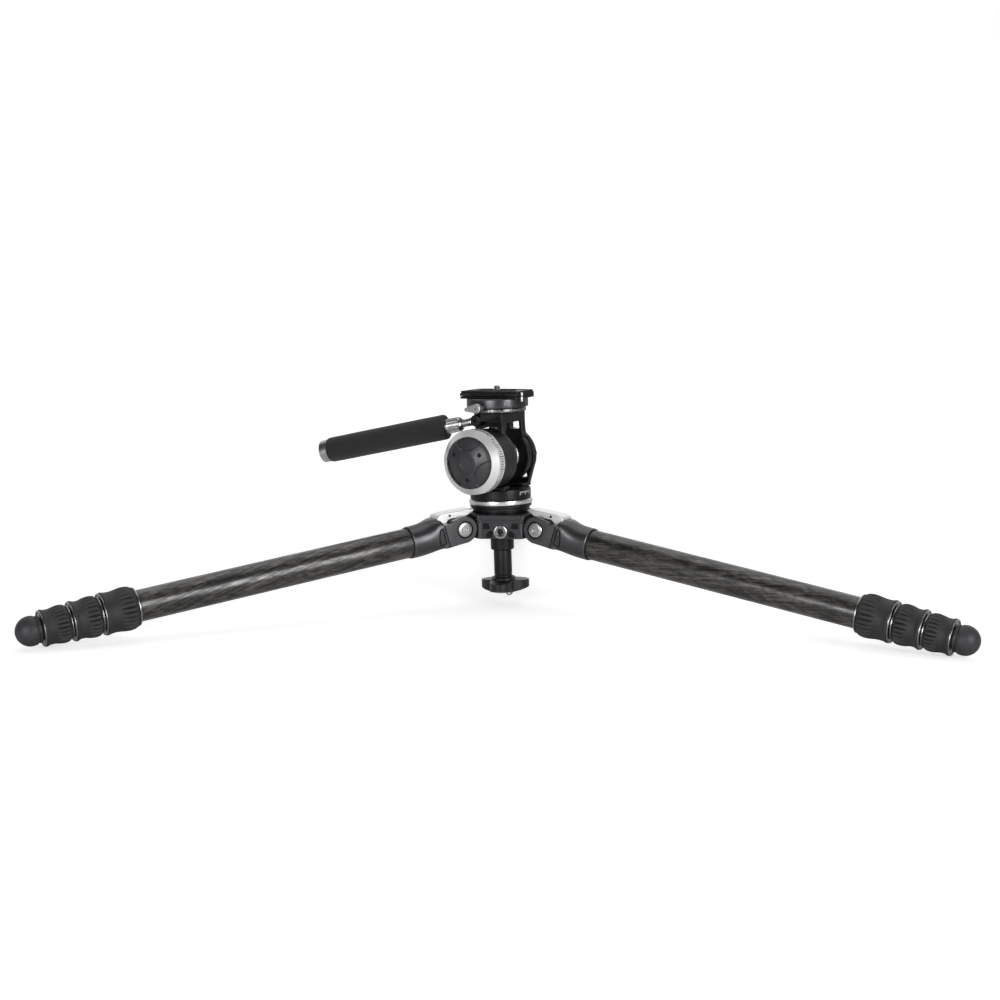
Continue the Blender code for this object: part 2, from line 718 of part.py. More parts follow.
def build_hub():
    hub = empty("hub_frame", location=(HUB_X, 0, 0))
    place(hub_body(), "hub", graphite(), hub)
    place(accessory_socket(), "accessory_socket", bright_metal(), hub)
    casting = leg_casting()
    shape = casting.data
    bpy.data.objects.remove(casting, do_unlink=True)
    for number, azimuth in enumerate(LEG_AZIMUTHS, 1):
        build_leg(number, azimuth, shape, hub)
    return hub


def build_levelling(lean):
    centre = (0, 0, BALL_CENTRE_Z)
    place(seat_liner(), "leveling_seat_liner", black_plastic(), lean, centre)
    place(half_ball(), "leveling_half_ball", black_metal(), lean, centre)
    place(levelling_collar(), "leveling_collar", black_metal(), lean, centre)
    place(levelling_column(), "leveling_column", black_metal(), lean, centre)
    place(levelling_knob(), "leveling_knob", black_plastic(), lean, (0, 0, KNOB_BOTTOM))
    place(weight_ring(), "weight_ring", bright_metal(), lean, (RING_OFFSET, 0, RING_AXIS_Z))


def build_head(lean):
    place(head_base(), "head_base", black_metal(), lean)
    place(pan_scale_ring(), "pan_scale_ring", bright_metal(), lean)
    pan = empty("pan_axis", lean)
    place(pan_body(), "pan_body", black_metal(), pan)
    place(tilt_drum(), "tilt_drum", black_metal(), pan, (0, 0, TILT_Z))
    knob_axis = empty("pan_lock_axis", pan, rotation=(0, 0, math.radians(131)))
    place(pan_lock_knob(), "pan_lock_knob", black_plastic(), knob_axis, (29.4, 0, 105))
    place(drag_wheel(), "drag_wheel", bright_metal(), pan, (0, 0, TILT_Z))
    place(wheel_cover(), "wheel_cover", black_plastic(), pan, (0, 0, TILT_Z))
    tilt = empty("tilt_axis", pan, (0, 0, TILT_Z))
    back = (0, 0, -TILT_Z)
    yoke = empty("yoke_frame", tilt, back)
    place(tilt_axle(), "tilt_axle", bright_metal(), yoke, (0, 0, TILT_Z))
    place(tilt_yoke(), "tilt_yoke", black_metal(), yoke, (0, 0, TILT_Z))
    place(handle_rod(), "handle_rod", bright_metal(), yoke, EYE)
    place(handle_nut(), "handle_nut", bright_metal(), yoke, EYE)
    place(handle_grip(), "handle_grip", foam(), yoke, EYE)
    place(handle_end_cap(), "handle_end_cap", bright_metal(), yoke, EYE)
    place(clamp_base_ring(), "clamp_base_ring", grey_metal(), yoke)
    clamp = empty("clamp_axis", yoke)
    place(clamp_body(), "clamp_body", grey_metal(), clamp)
    place(clamp_jaw(), "clamp_jaw", black_metal(), clamp)
    place(clamp_lever(), "clamp_lever", bright_metal(), clamp, (0, -29.7, LEVER_Z))
    place(release_plate(), "quick_release_plate", black_metal(), clamp)
    place(plate_screw(), "plate_screw", bright_metal(), clamp)


def build():
    clear_scene()
    hub = build_hub()
    ball = empty("lean", hub, (0, 0, BALL_CENTRE_Z))
    ball.rotation_mode = "QUATERNION"
    axis = Vector(LEAN_AXIS).normalized()
    ball.rotation_quaternion = Matrix.Rotation(math.radians(LEAN), 3, axis).to_quaternion()
    lean = empty("head_frame", ball, (0, 0, -BALL_CENTRE_Z))
    build_levelling(lean)
    build_head(lean)
    bpy.context.view_layer.update()


build()
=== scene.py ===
import json
import math

import bmesh
import bpy
from mathutils import Matrix, Vector

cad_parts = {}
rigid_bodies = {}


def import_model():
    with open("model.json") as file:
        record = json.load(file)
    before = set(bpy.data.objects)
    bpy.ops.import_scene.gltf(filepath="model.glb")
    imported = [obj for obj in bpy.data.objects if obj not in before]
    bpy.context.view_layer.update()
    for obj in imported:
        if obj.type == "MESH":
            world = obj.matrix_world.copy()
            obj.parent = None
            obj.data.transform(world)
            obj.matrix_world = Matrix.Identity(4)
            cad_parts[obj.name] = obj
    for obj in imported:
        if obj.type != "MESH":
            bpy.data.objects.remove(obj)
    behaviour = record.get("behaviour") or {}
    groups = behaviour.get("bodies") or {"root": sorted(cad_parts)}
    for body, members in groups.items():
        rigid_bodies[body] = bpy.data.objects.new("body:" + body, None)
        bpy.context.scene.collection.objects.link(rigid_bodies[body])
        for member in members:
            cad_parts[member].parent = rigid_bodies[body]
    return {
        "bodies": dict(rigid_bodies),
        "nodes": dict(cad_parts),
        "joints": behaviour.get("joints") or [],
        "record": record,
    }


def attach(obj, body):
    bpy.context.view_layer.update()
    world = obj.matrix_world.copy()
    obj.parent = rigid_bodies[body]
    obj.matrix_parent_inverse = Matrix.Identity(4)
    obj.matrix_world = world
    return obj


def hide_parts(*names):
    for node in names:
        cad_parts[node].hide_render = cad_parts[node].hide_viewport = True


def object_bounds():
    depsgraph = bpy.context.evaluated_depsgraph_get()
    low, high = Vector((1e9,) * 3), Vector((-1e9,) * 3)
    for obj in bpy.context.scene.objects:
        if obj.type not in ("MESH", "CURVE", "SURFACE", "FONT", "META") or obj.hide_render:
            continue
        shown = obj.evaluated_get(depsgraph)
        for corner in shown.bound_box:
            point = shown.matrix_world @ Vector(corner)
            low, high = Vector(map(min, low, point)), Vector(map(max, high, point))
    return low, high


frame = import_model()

CAD_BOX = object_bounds()
MM = 0.001
JOINTS = {joint["name"]: joint for joint in frame["joints"]}


# ---------------------------------------------------------------- frames from the joints

def vector(joint, key):
    return Vector(JOINTS[joint][key])


def local_frame(origin, along_x, along_y):
    """World matrix with this origin and these X and Y directions."""
    x, y = along_x.normalized(), along_y.normalized()
    z = x.cross(y).normalized()
    matrix = Matrix((x, z.cross(x), z)).transposed().to_4x4()
    matrix.translation = origin
    return matrix


def shift(x, y, z):
    """Matrix that moves by this many millimetres."""
    return Matrix.Translation(Vector((x, y, z)) * MM)


LEGS = (1, 2, 3)
LEG_FRAME = {n: local_frame(vector(f"leg_{n}_spread", "pos_m"), vector(f"leg_{n}_extend_2", "axis"),
                            vector(f"leg_{n}_spread", "axis")) for n in LEGS}
PIVOTS = [LEG_FRAME[n].translation for n in LEGS]
HUB_AXIS = sum(PIVOTS, Vector()) / len(PIVOTS)
HUB_FRAME = Matrix.Translation((HUB_AXIS.x, HUB_AXIS.y, 0.0))
PIVOT_RADIUS = (PIVOTS[0] - HUB_AXIS).length / MM
PIVOT_Z = HUB_AXIS.z / MM

TILT_Z = 139.0
UP = vector("pan_turn", "axis")
SIDE = vector("tilt_turn", "axis")
HEAD_FRAME = local_frame(vector("tilt_turn", "pos_m") - UP * TILT_Z * MM, SIDE.cross(UP), SIDE)
TILT_FRAME = HEAD_FRAME @ shift(0, 0, TILT_Z)
BALL_Z = 91.0
LEVER_Z = 188.0
HANDLE_START = Vector((-12.5, -18.0, 175.0))
HANDLE_WAY = HEAD_FRAME.to_3x3().inverted() @ vector("handle_extend", "axis")

TUBE_DROP = 3.44
TUBE_AXIS = (0.0, 0.0, -TUBE_DROP)
TUBE_R = (14.0, 12.4, 10.8, 9.2)
TUBE_WALL = 1.2
TUBE_START = (34.6, 44.0, 48.0, 52.0)
TUBE_END = (340.0, 366.0, 392.0, 409.2)
LOCK_SPAN = ((316.5, 347.9), (348.3, 374.5), (374.9, 400.1))
LOCK_BULGE = (19.2, 18.0, 16.5)
LOCK_WAIST = (17.9, 16.4, 15.1)
LOCK_GROOVES = 26
LEG_AZIMUTHS = (0.0, 240.0, 120.0)


# ---------------------------------------------------------------- mesh tools, in millimetres

def polar(radius, degrees):
    """Flat coordinates of the point at this distance and angle."""
    t = math.radians(degrees)
    return radius * math.cos(t), radius * math.sin(t)


def turn_angles(count):
    return [2 * math.pi * k / count for k in range(count)]


def smooth(mesh, crease):
    mesh.shade_smooth()
    mesh.set_sharp_from_angle(angle=math.radians(crease))


def skin(rows, loop=False, crease=32):
    """Surface over rows of points, each a ring or one point; unless it is a loop, end rings get caps."""
    bm = bmesh.new()
    rings = [[bm.verts.new(point) for point in row] for row in rows]
    pairs = list(zip(rings, rings[1:]))
    if loop:
        pairs.append((rings[-1], rings[0]))
    else:
        for end in (rings[0], rings[-1]):
            if len(end) > 1:
                bm.faces.new(end)
    for low, high in pairs:
        count = max(len(low), len(high))
        for k in range(count if count > 1 else 0):
            n = (k + 1) % count
            if len(low) == 1:
                bm.faces.new((low[0], high[n], high[k]))
            elif len(high) == 1:
                bm.faces.new((low[k], low[n], high[0]))
            else:
                bm.faces.new((low[k], low[n], high[n], high[k]))
    bmesh.ops.remove_doubles(bm, verts=bm.verts, dist=1e-4)
    bmesh.ops.recalc_face_normals(bm, faces=bm.faces)
    bmesh.ops.scale(bm, vec=(MM, MM, MM), verts=bm.verts)
    mesh = bpy.data.meshes.new("shape")
    bm.to_mesh(mesh)
    bm.free()
    smooth(mesh, crease)
    obj = bpy.data.objects.new("shape", mesh)
    bpy.context.scene.collection.objects.link(obj)
    return obj


AXES = {"Z": ((1, 0, 0), (0, 1, 0), (0, 0, 1)),
        "Y": ((0, 0, 1), (1, 0, 0), (0, 1, 0)),
        "X": ((0, 1, 0), (0, 0, 1), (1, 0, 0))}


def turned(profile, axis="Z", segments=96, centre=(0, 0, 0), shape=None, crease=32):
    """Spin (radius, height) points; one that starts off the axis is closed to a ring.

    shape(radius, height, angle) may change each radius.
    """
    side, up, along = (Vector(v) for v in AXES[axis])
    rows = []
    for radius, height in profile:
        base = Vector(centre) + along * height
        if radius < 1e-6:
            rows.append([base])
            continue
        row = []
        for t in turn_angles(segments):
            r = shape(radius, height, t) if shape else radius
            row.append(base + side * r * math.cos(t) + up * r * math.sin(t))
        rows.append(row)
    return skin(rows, profile[0][0] > 0, crease)


def prism(outline, low, high, plane="XY"):
    places = {"XY": lambda a, b, c: (a, b, c),
              "XZ": lambda a, b, c: (a, c, b),
              "YZ": lambda a, b, c: (c, a, b)}[plane]
    return skin([[places(a, b, c) for a, b in outline] for c in (low, high)])


def rectangle(low, high):
    return [(low[0], low[1]), (high[0], low[1]), (high[0], high[1]), (low[0], high[1])]


def block(low, high):
    return prism(rectangle(low, high), low[2], high[2])


def rod(radius, low, high, axis="Z", centre=(0, 0, 0), segments=48, round_edge=0.0):
    """Solid cylinder between two heights along the axis."""
    e = round_edge
    profile = [(radius, low), (radius, high)]
    if e:
        angles = (0, math.pi / 4, math.pi / 2)
        profile = [(radius - e + e * math.sin(t), low + e - e * math.cos(t)) for t in angles]
        profile += [(radius - e + e * math.cos(t), high - e + e * math.sin(t)) for t in angles]
    return turned([(0, low)] + profile + [(0, high)], axis, segments, centre)


def arc(centre, radius, start, end, steps):
    """Points along a circle, from one angle in degrees to another."""
    spots = (polar(radius, start + (end - start) * k / steps) for k in range(steps + 1))
    return [(centre[0] + x, centre[1] + y) for x, y in spots]


def lobed(count, radius_at):
    """Closed outline whose radius follows the angle."""
    return [(radius_at(t) * math.cos(t), radius_at(t) * math.sin(t)) for t in turn_angles(count)]


def rounded(points, radius, steps=4):
    """Outline with each corner replaced by a small arc-like curve."""
    made = []
    count = len(points)
    for k in range(count):
        here = Vector(points[k])
        before, after = Vector(points[k - 1]), Vector(points[(k + 1) % count])
        a, b = (before - here), (after - here)
        reach = min(radius, a.length * 0.45, b.length * 0.45)
        p, q = here + a.normalized() * reach, here + b.normalized() * reach
        for s in range(steps + 1):
            f = s / steps
            point = p * (1 - f) ** 2 + here * 2 * f * (1 - f) + q * f ** 2
            made.append((point.x, point.y))
    return made


def smooth_profile(points, steps=6):
    """Catmull-Rom through (radius, height) points."""
    made = []
    for k in range(len(points) - 1):
        p = [Vector(points[max(k - 1, 0)]), Vector(points[k]), Vector(points[k + 1]),
             Vector(points[min(k + 2, len(points) - 1)])]
        for s in range(steps):
            f = s / steps
            v = 0.5 * (2 * p[1] + (p[2] - p[0]) * f + (2 * p[0] - 5 * p[1] + 4 * p[2] - p[3]) * f ** 2
                       + (3 * p[1] - p[0] - 3 * p[2] + p[3]) * f ** 3)
            made.append((v.x, v.y))
    made.append(tuple(points[-1]))
    return made


def evaluated(obj):
    """The object's mesh with its modifiers applied."""
    graph = bpy.context.evaluated_depsgraph_get()
    graph.update()
    mesh = bpy.data.meshes.new_from_object(obj.evaluated_get(graph))
    obj.modifiers.clear()
    return mesh


def bake(obj):
    obj.data = evaluated(obj)
    smooth(obj.data, 32)
    return obj


def combine(obj, operation, *tools):
    for tool in tools:
        step = obj.modifiers.new(operation.title(), "BOOLEAN")
        step.operation = operation
        step.solver = "EXACT"
        step.object = tool
        bake(obj)
        bpy.data.objects.remove(tool, do_unlink=True)
    return obj


def cut(obj, *tools):
    return combine(obj, "DIFFERENCE", *tools)


def join(obj, *tools):
    return combine(obj, "UNION", *tools)


def soften(obj, width, segments=3, angle=40):
    step = obj.modifiers.new("Bevel", "BEVEL")
    step.width = width * MM
    step.segments = segments
    step.limit_method = "ANGLE"
    step.angle_limit = math.radians(angle)
    return bake(obj)


def spin(obj, degrees, axis="Z"):
    obj.data.transform(Matrix.Rotation(math.radians(degrees), 4, axis))
    return obj


def merge(obj, *others):
    """Put loose shells that belong to one visible piece into one mesh."""
    bm = bmesh.new()
    bm.from_mesh(obj.data)
    for other in others:
        bm.from_mesh(other.data)
        bpy.data.objects.remove(other, do_unlink=True)
    bm.to_mesh(obj.data)
    bm.free()
    return obj


def ease(f):
    """0 up to 0, 1 from 1 on, smooth in between."""
    f = min(1.0, max(0.0, f))
    return f * f * (3 - 2 * f)


def bump(distance, width):
    """1 in the middle, 0 beyond the width, smooth in between."""
    return ease(1 - abs(distance) / width)


def put(obj, name, body, look, place, nodes=()):
    """Name a piece, give it its material, place it in a local frame and ride it on its body."""
    weigh = obj.modifiers.new("Weighted", "WEIGHTED_NORMAL")
    weigh.keep_sharp = True
    obj.data = evaluated(obj)
    obj.name = name
    obj.data.name = name
    obj.data.materials.clear()
    obj.data.materials.append(look)
    obj.matrix_world = place
    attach(obj, body)
    if nodes:
        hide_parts(*nodes)
    return obj


def put_all(place, rows):
    """Put pieces in one frame: (shape function, name, body, look, CAD nodes it stands for)."""
    for shape, name, body, look, *nodes in rows:
        put(shape(), name, body, look, place, nodes)


# ---------------------------------------------------------------- materials

class Graph:
    """Short names for building one node tree."""

    def __init__(self, tree):
        self.tree = tree

    def node(self, kind, **values):
        made = self.tree.nodes.new("ShaderNode" + kind)
        for key, value in values.items():
            setattr(made, key, value)
        return made

    def link(self, source, target):
        self.tree.links.new(source, target)

    def feed(self, target, value):
        """Link a socket, or set a number or a colour."""
        if isinstance(value, bpy.types.NodeSocket):
            self.link(value, target)
        else:
            target.default_value = (*value, 1.0) if isinstance(value, tuple) else value

    def math(self, operation, *values):
        made = self.node("Math", operation=operation)
        for socket, value in zip(made.inputs, values):
            self.feed(socket, value)
        return made.outputs[0]

    def smoothstep(self, value, *limits):
        """Value eased from between the first two limits to between the last two."""
        made = self.node("MapRange", interpolation_type="SMOOTHSTEP")
        for socket, limit in zip(made.inputs[:5], (value, *limits)):
            self.feed(socket, limit)
        return made.outputs[0]


class Look(Graph):
    """A material of nodes; keywords are the shader's inputs, with _ for a space."""

    def __init__(self, name, **inputs):
        self.material = bpy.data.materials.new(name)
        self.material.use_nodes = True
        super().__init__(self.material.node_tree)
        self.shader = self.tree.nodes["Principled BSDF"].inputs
        for key, value in inputs.items():
            self.shader[key.replace("_", " ")].default_value = value
        self.place = self.node("TexCoord").outputs["Object"]

    def scaled(self, scale, place=None):
        made = self.node("Mapping")
        made.inputs["Scale"].default_value = scale
        self.link(place or self.place, made.inputs["Vector"])
        return made.outputs[0]

    def noise(self, scale, detail=3.0, rough=0.5, place=None):
        made = self.node("TexNoise")
        made.inputs["Scale"].default_value = scale
        made.inputs["Detail"].default_value = detail
        made.inputs["Roughness"].default_value = rough
        self.link(place or self.place, made.inputs["Vector"])
        return made.outputs["Fac"]

    def ramp(self, factor, low, high, start=0.35, end=0.65):
        made = self.node("ValToRGB")
        for stop, position, colour in zip(made.color_ramp.elements, (start, end), (low, high)):
            stop.position = position
            stop.color = (*colour, 1.0)
        self.link(factor, made.inputs[0])
        return made.outputs[0]

    def mix(self, factor, a, b):
        made = self.node("Mix", data_type="RGBA")
        for index, value in ((0, factor), (6, a), (7, b)):
            self.feed(made.inputs[index], value)
        return made.outputs[2]

    def finished(self, colour, rough, height, strength, distance):
        """The material, once its colour, roughness and bumps are linked."""
        made = self.node("Bump")
        made.inputs["Strength"].default_value = strength
        made.inputs["Distance"].default_value = distance
        self.link(height, made.inputs["Height"])
        self.link(made.outputs[0], self.shader["Normal"])
        self.link(colour, self.shader["Base Color"])
        self.link(rough, self.shader["Roughness"])
        return self.material

    def edge_mask(self, start=0.53, end=0.6):
        pointy = self.node("NewGeometry").outputs["Pointiness"]
        return self.ramp(pointy, (0, 0, 0), (1, 1, 1), start, end)


def dimmed(colour, factor):
    return tuple(c * factor for c in colour)


def carbon_look():
    """Twisted tow pattern: long thin satin streaks one way round, short plaited patches the other. The
    colour is lighter on the raised streaks, partly the weave's own tone and partly painted fibre sheen.
    """
    n = Look("carbon_weave", Coat_Weight=0.3, Coat_Roughness=0.16, Specular_IOR_Level=0.6)
    parts = n.node("SeparateXYZ")
    n.link(n.place, parts.inputs[0])

    def twisted(turns_per_metre, stretch):
        spun = n.node("VectorRotate", rotation_type="X_AXIS")
        n.link(n.place, spun.inputs["Vector"])
        n.link(n.math("MULTIPLY", parts.outputs[0], 2 * math.pi * turns_per_metre), spun.inputs["Angle"])
        return n.scaled(stretch, spun.outputs[0])

    streaks = n.noise(1.0, 4.0, 0.65, twisted(2.6, (28, 560, 560)))
    plait = n.noise(1.0, 3.0, 0.6, twisted(-2.2, (120, 330, 330)))
    weave_and_sheen = n.math("ADD", n.math("MULTIPLY", streaks, 0.7), n.math("MULTIPLY", plait, 0.45))
    # Lighter colour on the raised streaks: the weave's tone plus painted fibre sheen.
    colour = n.ramp(weave_and_sheen, (0.002, 0.0017, 0.0014), (0.105, 0.092, 0.080), 0.54, 0.70)
    return n.finished(colour, n.ramp(weave_and_sheen, (0.46,) * 3, (0.2,) * 3, 0.5, 0.68), weave_and_sheen, 0.5, 0.0004)


def anodised_look(name, base, lighter, roughness, metallic=0.75):
    """Bead-blasted anodised aluminium: fine grain, faint blotches, and paler edges that are partly wear and
    partly a painted highlight.
    """
    n = Look(name, Metallic=metallic)
    grain = n.noise(2600.0, 2.0)
    blotch = n.noise(45.0, 4.0)
    surface = n.mix(n.math("MULTIPLY", blotch, 0.6), base, lighter)
    # Paler sharp edges in patches: wear and a painted edge highlight.
    wear_and_highlight = n.math("MULTIPLY", n.edge_mask(), n.math("MULTIPLY", n.noise(160.0, 4.0), 0.7))
    colour = n.mix(wear_and_highlight, surface, tuple(min(1.0, c * 3.2 + 0.03) for c in lighter))
    rough = n.math("MULTIPLY_ADD", blotch, 0.1, roughness - 0.1)
    rough = n.math("ADD", n.math("MULTIPLY", grain, 0.12), rough)
    return n.finished(colour, rough, grain, 0.12, 0.00004)


def turned_metal_look(name, base, roughness, axis):
    """Aluminium with fine concentric tool marks round one local axis."""
    n = Look(name, Metallic=1.0)
    stretch = {"X": (3200, 60, 60), "Y": (60, 3200, 60), "Z": (60, 60, 3200)}[axis]
    marks = n.noise(1.0, 3.0, 0.6, n.scaled(stretch))
    smudge = n.noise(60.0, 4.0)
    colour = n.mix(n.math("MULTIPLY", smudge, 0.35), base, dimmed(base, 0.82))
    rough = n.math("MULTIPLY_ADD", smudge, 0.12, roughness - 0.13)
    rough = n.math("ADD", n.math("MULTIPLY", marks, 0.14), rough)
    return n.finished(colour, rough, marks, 0.12, 0.00003)


def rubber_look():
    n = Look("lock_rubber")
    grain = n.noise(1500.0, 4.0, 0.6)
    worn = n.math("MULTIPLY", n.edge_mask(0.51, 0.57), 0.55)
    dusty = n.ramp(n.noise(70.0, 5.0), (0.016, 0.017, 0.016), (0.027, 0.028, 0.027), 0.3, 0.7)
    colour = n.mix(worn, dusty, (0.06, 0.062, 0.059))
    return n.finished(colour, n.math("MULTIPLY_ADD", grain, 0.18, 0.5), grain, 0.3, 0.00008)


def foot_look():
    n = Look("foot_rubber")
    grain = n.noise(900.0, 4.0, 0.6)
    dusty = n.ramp(n.noise(55.0, 5.0), (0.024, 0.025, 0.027), (0.036, 0.037, 0.040), 0.3, 0.7)
    return n.finished(dusty, n.math("MULTIPLY_ADD", grain, 0.2, 0.42), grain, 0.25, 0.0001)


def foam_look():
    """Closed-cell foam: tiny pores and a soft uneven skin, with painted shade down in the pores."""
    n = Look("grip_foam", Sheen_Weight=0.12, Sheen_Roughness=0.6)
    cells = n.node("TexVoronoi", feature="SMOOTH_F1")
    cells.inputs["Scale"].default_value = 1100.0
    n.link(n.place, cells.inputs["Vector"])
    lumps = n.noise(240.0, 4.0)
    height = n.math("ADD", cells.outputs["Distance"], n.math("MULTIPLY", lumps, 0.8))
    # Colour follows the bump height, darker down in the pores and hollows: painted shade.
    colour = n.ramp(height, (0.003, 0.003, 0.003), (0.013, 0.013, 0.014), 0.2, 1.1)
    return n.finished(colour, n.math("MULTIPLY_ADD", lumps, 0.15, 0.78), height, 0.7, 0.00025)


def plastic_look(name, base, roughness):
    n = Look(name)
    grain = n.noise(1900.0, 3.0, 0.6)
    colour = n.mix(n.noise(50.0, 4.0), base, dimmed(base, 1.35))
    return n.finished(colour, n.math("MULTIPLY_ADD", grain, 0.16, roughness - 0.08), grain, 0.22, 0.00006)


def scale_look(name, base, roughness, axis, count, low, high, paint=(0.03, 0.03, 0.032),
               metallic=1.0):
    """Turned aluminium with engraved, painted graduations between two heights along the axis."""
    n = Look(name, Metallic=metallic)
    parts = n.node("SeparateXYZ")
    n.link(n.place, parts.inputs[0])
    x, y, z = parts.outputs
    first, second, height = {"Z": (x, y, z), "Y": (z, x, y)}[axis]
    turn = n.math("DIVIDE", n.math("ARCTAN2", second, first), 2 * math.pi)
    away = n.math("ABSOLUTE", n.math("SUBTRACT", height, (low + high) / 2 * MM))

    def ticks(per_turn, width, reach):
        """Lines with a width and a reach, as parts of their pitch and of the scale's height."""
        phase = n.math("FRACT", n.math("MULTIPLY", turn, per_turn))
        across = n.math("LESS_THAN", n.math("ABSOLUTE", n.math("SUBTRACT", phase, 0.5)), width)
        return n.math("MULTIPLY", across, n.math("LESS_THAN", away, abs(high - low) * reach * MM))

    marks = n.math("MAXIMUM", ticks(count, 0.16, 0.24), ticks(count / 5, 0.035, 0.42))
    smudge = n.noise(60.0, 4.0)
    metal = n.mix(n.math("MULTIPLY", smudge, 0.35), base, dimmed(base, 0.82))
    colour = n.mix(n.math("MULTIPLY", marks, 0.85), metal, paint)
    rough = n.math("MULTIPLY_ADD", smudge, 0.14, roughness - 0.06)
    return n.finished(colour, rough, n.math("MULTIPLY", marks, -1.0), 0.4, 0.0001)


GRAPHITE = anodised_look("graphite_anodised", (0.085, 0.085, 0.089), (0.12, 0.12, 0.126), 0.34, 0.85)
HUB_METAL = anodised_look("hub_anodised", (0.050, 0.051, 0.055), (0.080, 0.082, 0.088), 0.34)
BLACK = anodised_look("black_anodised", (0.010, 0.010, 0.011), (0.020, 0.020, 0.022), 0.33, 0.6)
DRUM = anodised_look("drum_anodised", (0.014, 0.014, 0.015), (0.022, 0.022, 0.024), 0.46, 0.4)
COVER = plastic_look("cover_grey", (0.036, 0.037, 0.040), 0.36)
PLASTIC = plastic_look("black_plastic", (0.011, 0.011, 0.013), 0.36)
# Near-black plastic: real black parts, and painted shade in grooves, pockets and sockets.
DARK = plastic_look("black_and_painted_shade", (0.002, 0.002, 0.002), 0.75)
WHITE = plastic_look("white_paint", (0.62, 0.62, 0.62), 0.5)
RUBBER = rubber_look()
FOOT = foot_look()
FOAM = foam_look()
CARBON = carbon_look()
BRIGHT = (0.60, 0.60, 0.59)
SILVER_X = turned_metal_look("satin_silver_x", BRIGHT, 0.3, "X")
SILVER_Y = turned_metal_look("satin_silver_y", BRIGHT, 0.3, "Y")
TAB_SILVER = turned_metal_look("tab_silver", (0.93, 0.93, 0.92), 0.42, "Y")
SILVER_Z = turned_metal_look("satin_silver_z", BRIGHT, 0.28, "Z")
GREY = turned_metal_look("machined_grey", (0.09, 0.09, 0.095), 0.3, "Z")
RING_GREY = turned_metal_look("lock_ring", (0.34, 0.34, 0.34), 0.3, "X")
PAN_SILVER = turned_metal_look("pan_silver", (0.86, 0.86, 0.85), 0.28, "Z")
CLAMP_SCALE = scale_look("clamp_scale", (0.09, 0.09, 0.095), 0.3, "Z", 90, 182.9, 186.5, (0.6, 0.6, 0.6))
WHEEL_SCALE = scale_look("wheel_scale", (0.92, 0.92, 0.91), 0.36, "Y", 80, -41.0, -49.2, metallic=0.6)


# ---------------------------------------------------------------- legs

def superellipse(t, square):
    """Point at angle t on a unit outline between a circle (2) and a square."""
    return tuple(math.copysign(abs(v) ** (2 / square), v) for v in (math.cos(t), math.sin(t)))


def loft_x(sections):
    """Rounded-box sections along X, each (x, half width, bottom, top, squareness)."""
    rows = []
    for x, half, low, high, square in sections:
        spots = [superellipse(t, square) for t in turn_angles(96)]
        rows.append([(x, half * y, (low + high) / 2 + (high - low) / 2 * z) for y, z in spots])
    return skin(rows)


SEAM_TOP = (20.9, 8.5)
SEAM_FOOT = (17.5, -13.3)
SEAM_HALF = 0.6
GROOVE_FLOOR = 14.8
SLEEVE = 15.2


def leg_casting():
    """Clevis cheeks that swell into a shoulder and run out as a sleeve round the tube."""
    side = arc((0, 0), 12.7, 62, 250, 40)
    side += [(-2.0, -12.7), (9.0, -13.2), (19.5, -13.9), (23.0, -13.7), (23.0, 8.9), (12.8, 8.9),
             (11.4, 10.8)]
    body = soften(prism(side, -15.5, 15.5, "XZ"), 0.8)
    low, high = -SLEEVE - TUBE_DROP, SLEEVE - TUBE_DROP
    sections = [(18.4, 15.3, -13.6, 8.8, 9.0), (20.4, 15.5, -14.1, 9.2, 7.0),
                (22.0, 15.6, -14.6, 12.4, 5.2), (23.4, 15.8, -14.9, 13.6, 4.2),
                (25.5, 16.0, -15.4, 14.3, 3.4), (28.0, 16.1, -16.0, 14.4, 2.9),
                (31.0, 16.0, -16.8, 14.0, 2.5), (34.5, 15.8, -17.6, 13.3, 2.2),
                (38.5, 15.5, -18.2, 12.5, 2.05), (43.0, 15.3, -18.5, 12.0, 2.0),
                (48.0, SLEEVE, low, high, 2.0), (52.6, SLEEVE, low, high, 2.0),
                (53.1, SLEEVE - 0.5, low + 0.5, high - 0.5, 2.0)]
    join(body, loft_x(sections))
    cut(body, block((-16, -9.8, -22), (25.0, 9.8, 22)),
        rod(14.3, 34.3, 56, "X", TUBE_AXIS, 96),
        rod(3.3, -20, 20, "Y"),
        *[rod(8.3, low, high, "Y", segments=96) for low, high in ((13.0, 20), (-20, -13.0))])
    return cut(body, *casting_lines(GROOVE_FLOOR, 18.0))


def casting_lines(near, far):
    """Solids along the cheek's seam and round its raised panel, on both sides of the casting."""
    seam = [(SEAM_FOOT[0] - SEAM_HALF, SEAM_FOOT[1]), (SEAM_FOOT[0] + SEAM_HALF, SEAM_FOOT[1]),
            (SEAM_TOP[0] + SEAM_HALF, SEAM_TOP[1]), (SEAM_TOP[0] - SEAM_HALF, SEAM_TOP[1])]
    outer = rounded([(23.0, 6.4), (20.3, -9.4), (27.4, -11.0), (28.9, -4.2), (26.8, 5.4)], 1.8)
    inner = rounded([(23.9, 4.6), (21.8, -8.1), (26.2, -9.3), (27.3, -4.1), (25.8, 3.9)], 1.2)
    lines = []
    for low, high in ((near, far), (-far, -near)):
        frame = prism(outer, low, high, "XZ")
        lines += [prism(seam, low, high, "XZ"),
                  cut(frame, prism(inner, low - 1, high + 1, "XZ"))]
    return lines


def casting_line_shade():
    """Painted shade: dark floors of the seam and of the panel's outline, and a dark ring under each bolt
    head, in the gap round it.
    """
    bolt_gap_shade = [turned(rectangle((6.0, y - 0.3), (8.2, y + 0.3)), "Y") for y in (13.0, -13.0)]
    return merge(*bolt_gap_shade, *casting_lines(GROOVE_FLOOR - 0.5, GROOVE_FLOOR + 0.1))


